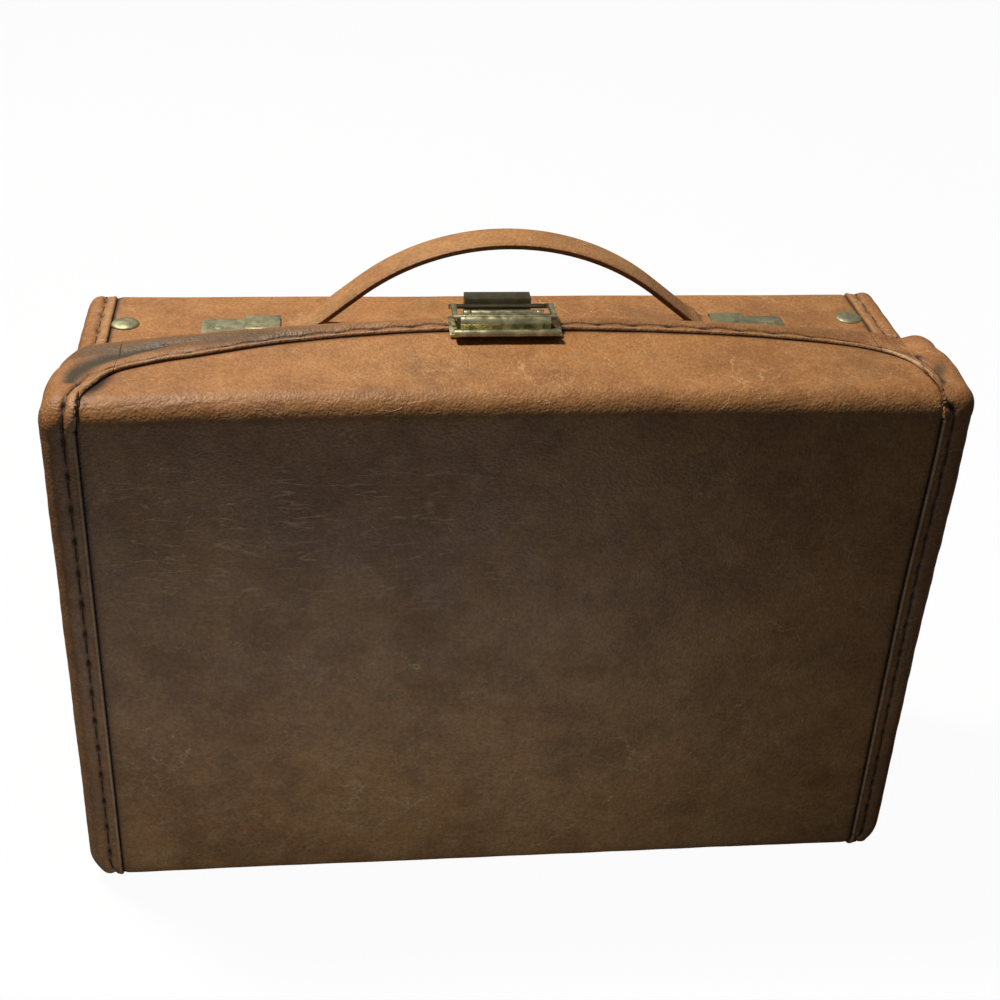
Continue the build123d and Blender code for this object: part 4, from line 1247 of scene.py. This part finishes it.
def wrap(shell, seam, edge_y, columns, rows, seed):
    """The leather over top, far face and underside: a little uneven, and lower than the bands.
    Beside the seams it sinks and gets painted shade. The lid's has fine wrinkles over the front
    bend and gapes below the fold of the left corner, with painted shade in the gap."""
    points, share = wrap_grid(shell, seam, edge_y, columns, rows)
    x, y, z = np.moveaxis(points, -1, 0)
    normals = grid_normals(points, CASE_MIDDLE)
    beside = (1 - np.abs(share)) * seam + 0 * z
    relief = 0.13 * ripple(x, y, z, 60.0, seed) + 0.06 * ripple(x, y, z, 22.0, seed + 1)
    relief -= BAND_RISE
    if shell.arched:
        over = np.clip(seam_y(x) - y, 0, None) * 0.9
        upper = z > shell.top - 12.0
        beside = np.where(upper, np.minimum(beside * 1.2 + 0.2, over + 0.1), beside)
        # painted shade of the step down from the bands, beside the seams
        pit = 0.92 * bell(beside, 0.0, 0.75) + 0.25 * bell(beside, 0.0, 2.4)
        bend = bell(z, shell.top - 3.0, 5.0) * bell(y, shell.plane_y + 6.0, 9.0)
        relief += 0.14 * bend * ripple(x, y, z, 4.0, seed + 2)
        # the gap below the left fold: a shallow dent with painted shade
        gap = oval(-x, y, (176.0, -43.0), (4.0, -14.0), 15.0, 4.0) * (x < 0)
        relief -= 0.6 * gap
        pit += 1.1 * gap
    else:
        # painted shade of the step beside the body's seams
        pit = 0.72 * bell(beside, 0.0, 1.3) + 0.20 * bell(beside, 0.0, 3.0)
    relief -= 0.5 * bell(beside, 0.0, 1.4)
    return points + normals * relief[:, :, None], {"pit": np.clip(pit, 0, 0.97)}


class CASE_OT_covers(bpy.types.Operator):
    """Leather covers of the lid and the body"""

    bl_idname = "case.covers"
    bl_label = "Leather covers"

    def execute(self, context):
        seam = context.scene.case_seam
        pitch, inset = seam.pitch / MM, seam.inset / MM
        thickness = context.scene.case_leather.thickness

        def cover(name, points, extra, body, finish, node):
            """One leather sheet in the place of one CAD node."""
            sheet_piece(name, points, extra, body, MATERIALS[finish], [node], thickness)

        points, extra = wrap(LID, LID_SEAM_X, LID_HINGE_EDGE_Y, columns=190, rows=210, seed=3)
        cover("lid_leather", points, extra, "lid", "leather_front", "lid_wrap_cover")
        points, extra = wrap(BODY, BODY_SEAM_X, BODY_HINGE_EDGE_Y, columns=170, rows=190, seed=5)
        cover("body_leather", points, extra, "body", "leather_body", "body_wrap_cover")
        points, extra = binding(pitch, seed=11)
        cover("lid_binding", points, extra, "lid", "leather_band", "lid_rim_binding")
        runs = {"lid": [], "body": []}
        for side, word in ((-1, "left"), (1, "right")):
            for half, title, seam_x, start_x, seed in (
                (LID, "lid", LID_SEAM_X, LID_MITRE_X, 20),
                (BODY, "body", BODY_SEAM_X, BODY_SEAM_X, 30),
            ):
                points, extra, threads = end_cover(
                    half, seam_x, start_x, pitch, inset, side, seed + side
                )
                node = title + "_end_cover_" + word
                cover(title + "_end_" + word, points, extra, title, "leather_band", node)
                runs[title].append(threads)
        for title, radius in (("lid", 0.40), ("body", 0.28)):
            name = title + "_threads"
            length = STITCH_LENGTH * pitch
            mesh = thread_mesh(name, runs[title], length, radius, lift=0.05)
            make_piece(name, mesh, title, MATERIALS["thread"])
        return {"FINISHED"}


def strap_path(steps):
    """The strap's middle line: flat ends, foot arcs, straight ramps and the crown's arc, as
    points and directions at even steps. Each corner of the route is an arc tangent to both
    runs."""
    ridge = STRAP_LOW + STRAP_FOOT * math.tan(STRAP_SLOPE)
    crown = (ridge - STRAP_HIGH) / (1 / math.cos(STRAP_SLOPE) - 1)
    tangent_foot = STRAP_FOOT_RADIUS * math.tan(STRAP_SLOPE / 2)
    ramp = STRAP_FOOT / math.cos(STRAP_SLOPE) - tangent_foot - crown * math.tan(STRAP_SLOPE)
    flat = STRAP_HALF - STRAP_FOOT - tangent_foot
    foot = (STRAP_FOOT_RADIUS * STRAP_SLOPE, 1 / STRAP_FOOT_RADIUS)
    top = (2 * crown * STRAP_SLOPE, -1 / crown)
    runs = [(flat + STRAP_SHIFT, 0.0), foot, (ramp, 0.0), top, (ramp, 0.0), foot]
    lengths, bends = np.array([*runs, (flat - STRAP_SHIFT, 0.0)]).T
    ends = np.cumsum(lengths)
    s = np.linspace(0, ends[-1], steps)
    which = np.minimum(np.searchsorted(ends, s), len(lengths) - 1)
    before = np.concatenate([[0.0], ends[:-1]])
    turned = np.concatenate([[0.0], np.cumsum(lengths * bends)[:-1]])
    heading = turned[which] + bends[which] * (s - before[which])
    middle = 0.5 * (heading[1:] + heading[:-1])
    ds = np.diff(s)
    x = -STRAP_HALF + np.concatenate([[0.0], np.cumsum(ds * np.cos(middle))])
    z = STRAP_LOW + np.concatenate([[0.0], np.cumsum(ds * np.sin(middle))])
    return s, x, z, heading


def strap_surface():
    """The strap's skin as rows round its middle line, and the dark of its edges. Each row is a
    squared-off oval: the sine and cosine of the angle, raised to powers well under one, times
    the half thickness and half width there. These are evened out along the strap, and a shallow
    line runs beside each edge."""
    s, x, z, heading = strap_path(steps=320)
    kernel = np.ones(5) / 5

    def smoothed(values):
        """The mean of each value and its neighbours along the strap."""
        return np.convolve(np.pad(values, 2, mode="edge"), kernel, "valid")

    thin = np.abs(x) > STRAP_THIN_X
    width = np.where(thin, STRAP_NECK_HALF_WIDTH, STRAP_HALF_WIDTH)
    in_head = np.abs(np.abs(x) - STRAP_HEAD_X) <= 2.0
    width = smoothed(np.where(in_head, STRAP_HEAD_HALF_WIDTH, width))
    top = smoothed(np.where(thin, STRAP_END_TOP - z, STRAP_HALF_THICKNESS))
    around = np.linspace(0, 2 * math.pi, 40, endpoint=False)
    cos, sin = np.cos(around), np.sin(around)
    flat_y = np.sign(cos) * np.abs(cos) ** 0.16
    flat_z = np.sign(sin) * np.abs(sin) ** 0.42
    across = width[:, None] * flat_y[None, :]
    half_thick = np.where(flat_z[None, :] > 0, top[:, None], STRAP_HALF_THICKNESS)
    thick = half_thick * flat_z[None, :] * (1 - 0.10 * (across / STRAP_HALF_WIDTH) ** 8)
    edge_line = bell(np.abs(across), 8.7, 0.45)
    thick = thick - 0.10 * edge_line * np.sign(thick)
    px = x[:, None] - np.sin(heading)[:, None] * thick
    pz = z[:, None] + np.cos(heading)[:, None] * thick
    py = STRAP_MIDDLE_Y + across + 0.25 * np.sin(s / 31.0)[:, None]
    rim = (np.abs(across) > width[:, None] * 0.985) & (np.abs(thick) < 1.25)
    return np.stack([px, py, pz], axis=-1), {"pit": 0.45 * rim + 0.25 * edge_line}


class CASE_OT_strap(bpy.types.Operator):
    """Leather strap of the handle"""

    bl_idname = "case.strap"
    bl_label = "Strap"

    def execute(self, context):
        points, pit = strap_surface()
        middle = points.mean(axis=1, keepdims=True)
        mesh = grid_mesh("strap", *facing_out(points, pit, middle, True), closed_v=True)
        close_ends(mesh)
        make_piece("strap", mesh, "handle", MATERIALS["strap"], ["handle_strap"])
        return {"FINISHED"}


def close_ends(mesh):
    """Caps on the open ends of a tube."""
    bm = bmesh.new()
    bm.from_mesh(mesh)
    fill_openings(bm)
    bmesh.ops.recalc_face_normals(bm, faces=bm.faces)
    closed(bm, mesh, smooth=False)


def softened(name, node, body, material, width):
    """A CAD node's form with its edges rounded: a merged copy of its mesh with a bevel."""
    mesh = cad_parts[node].data.copy()
    mesh.name = name
    bm = opened(mesh)
    flat = math.radians(0.5)
    bmesh.ops.dissolve_limit(bm, angle_limit=flat, verts=bm.verts, edges=bm.edges)
    closed(bm, mesh).materials.clear()
    piece = make_piece(name, mesh, body, material, [node])
    bevel = piece.modifiers.new("Rounding", "BEVEL")
    bevel.width = width
    bevel.segments = 3
    bevel.limit_method = "ANGLE"
    bevel.angle_limit = math.radians(35.0)
    bevel.harden_normals = False
    return piece


class CASE_OT_fittings(bpy.types.Operator):
    """Latch, its lever's pin and the handle's brackets with rounded edges"""

    bl_idname = "case.fittings"
    bl_label = "Metal fittings"

    def execute(self, context):
        soft = context.scene.case_metal.softness
        for node, body, finish, width in (
            ("latch_plate", "lid", "brass", soft * 0.8),
            ("latch_lever", "latch_lever", "brass", soft),
            ("latch_bail", "latch_bail", "brass_dull", soft),
            ("latch_keeper", "body", "brass_dull", soft),
            ("handle_bracket_left", "body", "brass_dull", soft * 0.6),
            ("handle_bracket_right", "body", "brass_dull", soft * 0.6),
            ("lever_pin", "lid", "brass", soft * 0.6),
        ):
            softened(node + "_form", node, body, MATERIALS[finish], width)
        return {"FINISHED"}


def dome(places, seat, radius, height, name, nodes, seed):
    """Domed rivet heads: a circle of rings whose height falls off as a flattened dome, with a
    little unevenness, for each place."""
    rings = np.linspace(0, 1, 14)[:, None]
    around = np.linspace(0, 2 * math.pi, 40, endpoint=False)[None, :]
    profile_r = radius * np.sin(rings * math.pi / 2) ** 0.9
    profile_z = height * np.cos(rings * math.pi / 2) ** 0.85
    bm = bmesh.new()
    for number, (px, py) in enumerate(places):
        x = px + profile_r * np.cos(around)
        y = py + profile_r * np.sin(around)
        z = seat + profile_z + 0 * around
        z = z + 0.10 * ripple(x, y, z, 4.0, seed + number) * (1 - rings)
        skirt = np.stack([x[-1], y[-1], 0 * x[-1] + seat - DOME_SKIRT], axis=-1)[None]
        points = np.concatenate([np.stack([x, y, z], axis=-1), skirt])
        bm.from_mesh(grid_mesh(name, points, closed_v=True))
    bmesh.ops.remove_doubles(bm, verts=bm.verts, dist=1e-6)
    fill_openings(bm)
    whole = closed(bm, bpy.data.meshes.new(name))
    return make_piece(name, whole, "body", MATERIALS["brass_dull"], nodes)


class CASE_OT_rivets(bpy.types.Operator):
    """Domed rivets of tray, brackets and keeper"""

    bl_idname = "case.rivets"
    bl_label = "Rivets"

    def execute(self, context):
        for held, places, seat, radius, height, seed in RIVETS:
            name, node = held + "_rivet_heads", held + "_rivets"
            dome(places, seat, radius, height, name, [node], seed)
        return {"FINISHED"}


class CASE_OT_inside(bpy.types.Operator):
    """Finishes of the boards, lining, tray and hinge"""

    bl_idname = "case.inside"
    bl_label = "Inside"

    def execute(self, context):
        for finish, nodes in (
            ("board", "lid_board"),
            ("paper", "body_tongue lid_rim_frame body_board"),
            ("lining", "lid_liner"),
            (
                "flock",
                "tape_tray_panel tape_tray_rails tape_tray_ribs_upper tape_tray_ribs_lower",
            ),
            (
                "steel",
                "body_hinge_leaf lid_hinge_leaf body_hinge_screws lid_hinge_screws hinge_pin",
            ),
        ):
            for node in nodes.split():
                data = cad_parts[node].data
                data.materials.clear()
                data.materials.append(MATERIALS[finish])
        return {"FINISHED"}


def stage_finish(seen, mirrored, lit, name):
    """A matt floor that keeps the shadow and lets the camera and the lamps through, so that the
    pale surroundings show, and the lid too where it opens below the floor. It is dimmer in
    reflections and throws little light back."""
    f = Finish(name)
    looked_at, glossy, shadow = f.rays()
    shade = f.mix(looked_at, f.mix(glossy, lit, mirrored), seen)
    clear = f.add("ShaderNodeBsdfTransparent").outputs[0]
    through = f.math("MULTIPLY", f.math("MAXIMUM", looked_at, shadow), 0.96)
    f.feed(f.output.inputs[0], f.blend(through, f.shader.outputs[0], clear))
    return f.finish(shade, 1.0, None, Specular_IOR_Level=0.0)


def add_floor(scene):
    """A flat floor, a little under the case so that the two surfaces stay apart."""
    steps = np.linspace(-FLOOR_HALF, FLOOR_HALF, 9)
    x, y = np.meshgrid(steps, steps, indexing="ij")
    points = np.stack([x, y, 0 * x - FLOOR_DROP], axis=-1)
    floor = bpy.data.objects.new("floor", grid_mesh("floor", points))
    scene.collection.objects.link(floor)
    finish = stage_finish((0.97,) * 3, (0.12,) * 3, (0.035,) * 3, "floor_pale")
    floor.data.materials.append(finish)


def add_surroundings(scene, fill):
    """White surroundings for the camera, dimmer ones in reflections, and a faint, cool light
    from all round."""
    scene.world = bpy.data.worlds.new("surroundings")
    nodes = Nodes(scene.world, "ShaderNodeOutputWorld")
    looked_at, glossy = nodes.rays()[:2]

    def glow(colour, strength):
        """A plain light of one colour."""
        return nodes.add("ShaderNodeBackground", Color=colour, Strength=strength).outputs[0]

    shine = nodes.blend(glossy, glow((0.62, 0.78, 1.0), fill), glow(WHITE, 0.30))
    nodes.feed(nodes.output.inputs[0], nodes.blend(looked_at, shine, glow(WHITE, 1.0)))


def add_lamp(scene, name, shape, size, energy, colour, place, from_side):
    """An area lamp at a place, which shines away from the side given as a direction."""
    light = bpy.data.lights.new(name, "AREA")
    light.shape = shape
    light.size, light.size_y = size
    light.energy = energy
    light.color = colour
    lamp = bpy.data.objects.new(name, light)
    scene.collection.objects.link(lamp)
    lamp.visible_camera = False
    lamp.location = place
    lamp.rotation_mode = "QUATERNION"
    lamp.rotation_quaternion = Vector(from_side).to_track_quat("Z", "Y")


def add_camera(scene):
    """The photograph's viewpoint: place, turn and lens."""
    camera = bpy.data.cameras.new("camera")
    camera.sensor_width = VIEW_SENSOR
    camera.lens = VIEW_LENS
    camera.clip_end = 50.0
    view = bpy.data.objects.new("camera", camera)
    scene.collection.objects.link(view)
    axes = np.array([VIEW_RIGHT, VIEW_DOWN, VIEW_AHEAD, VIEW_PLACE]).T * (1, -1, -1, 1)
    view.matrix_world = Matrix([*axes.tolist(), (0.0, 0.0, 0.0, 1.0)])
    scene.camera = view


class CASE_OT_stage(bpy.types.Operator):
    """Floor, lights, world and camera"""

    bl_idname = "case.stage"
    bl_label = "Stage"

    def execute(self, context):
        scene = context.scene
        settings = scene.case_stage
        add_floor(scene)
        add_surroundings(scene, settings.fill)
        add_lamp(
            scene,
            "key",
            shape="DISK",
            size=(0.28, 0.28),
            energy=settings.key,
            colour=(1.0, 0.97, 0.92),
            place=(-0.66, 0.36, 1.72),
            from_side=(-0.66, 0.36, 1.5),
        )
        add_lamp(
            scene,
            "bounce",
            shape="RECTANGLE",
            size=(0.46, 0.09),
            energy=settings.bounce,
            colour=(0.60, 0.76, 1.0),
            place=(-0.12, -0.245, 0.05),
            from_side=(0.0, -0.9, -0.2),
        )
        add_camera(scene)
        scene.view_settings.view_transform = "Standard"
        return {"FINISHED"}


class CASE_PT_panel(bpy.types.Panel):
    """Shows the settings and the buttons that build the case's pieces"""

    bl_label = "Cassette case"
    bl_idname = "CASE_PT_panel"
    bl_space_type = "VIEW_3D"
    bl_region_type = "UI"
    bl_category = "Case"

    def draw(self, context):
        layout = self.layout
        for group in ("case_leather", "case_seam", "case_metal", "case_stage"):
            settings = getattr(context.scene, group)
            box = layout.box()
            for key in settings.__annotations__:
                box.prop(settings, key)
        for operator in OPERATORS:
            layout.operator(operator.bl_idname)


OPERATORS = (
    CASE_OT_stage,
    CASE_OT_covers,
    CASE_OT_strap,
    CASE_OT_fittings,
    CASE_OT_rivets,
    CASE_OT_inside,
)
SETTINGS = (
    ("case_leather", LeatherSettings),
    ("case_seam", SeamSettings),
    ("case_metal", MetalSettings),
    ("case_stage", StageSettings),
)


def register():
    """Add the settings, operators and panel."""
    for name, group in SETTINGS:
        bpy.utils.register_class(group)
        setattr(bpy.types.Scene, name, PointerProperty(type=group))
    for operator in OPERATORS:
        bpy.utils.register_class(operator)
    bpy.utils.register_class(CASE_PT_panel)


def unregister():
    """Take them out again."""
    bpy.utils.unregister_class(CASE_PT_panel)
    for operator in reversed(OPERATORS):
        bpy.utils.unregister_class(operator)
    for name, group in reversed(SETTINGS):
        delattr(bpy.types.Scene, name)
        bpy.utils.unregister_class(group)


def main():
    """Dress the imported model."""
    register()
    prepare_materials(bpy.context.scene)
    bpy.ops.case.stage()
    bpy.ops.case.covers()
    bpy.ops.case.strap()
    bpy.ops.case.fittings()
    bpy.ops.case.rivets()
    bpy.ops.case.inside()


if __name__ == "__main__":
    main()
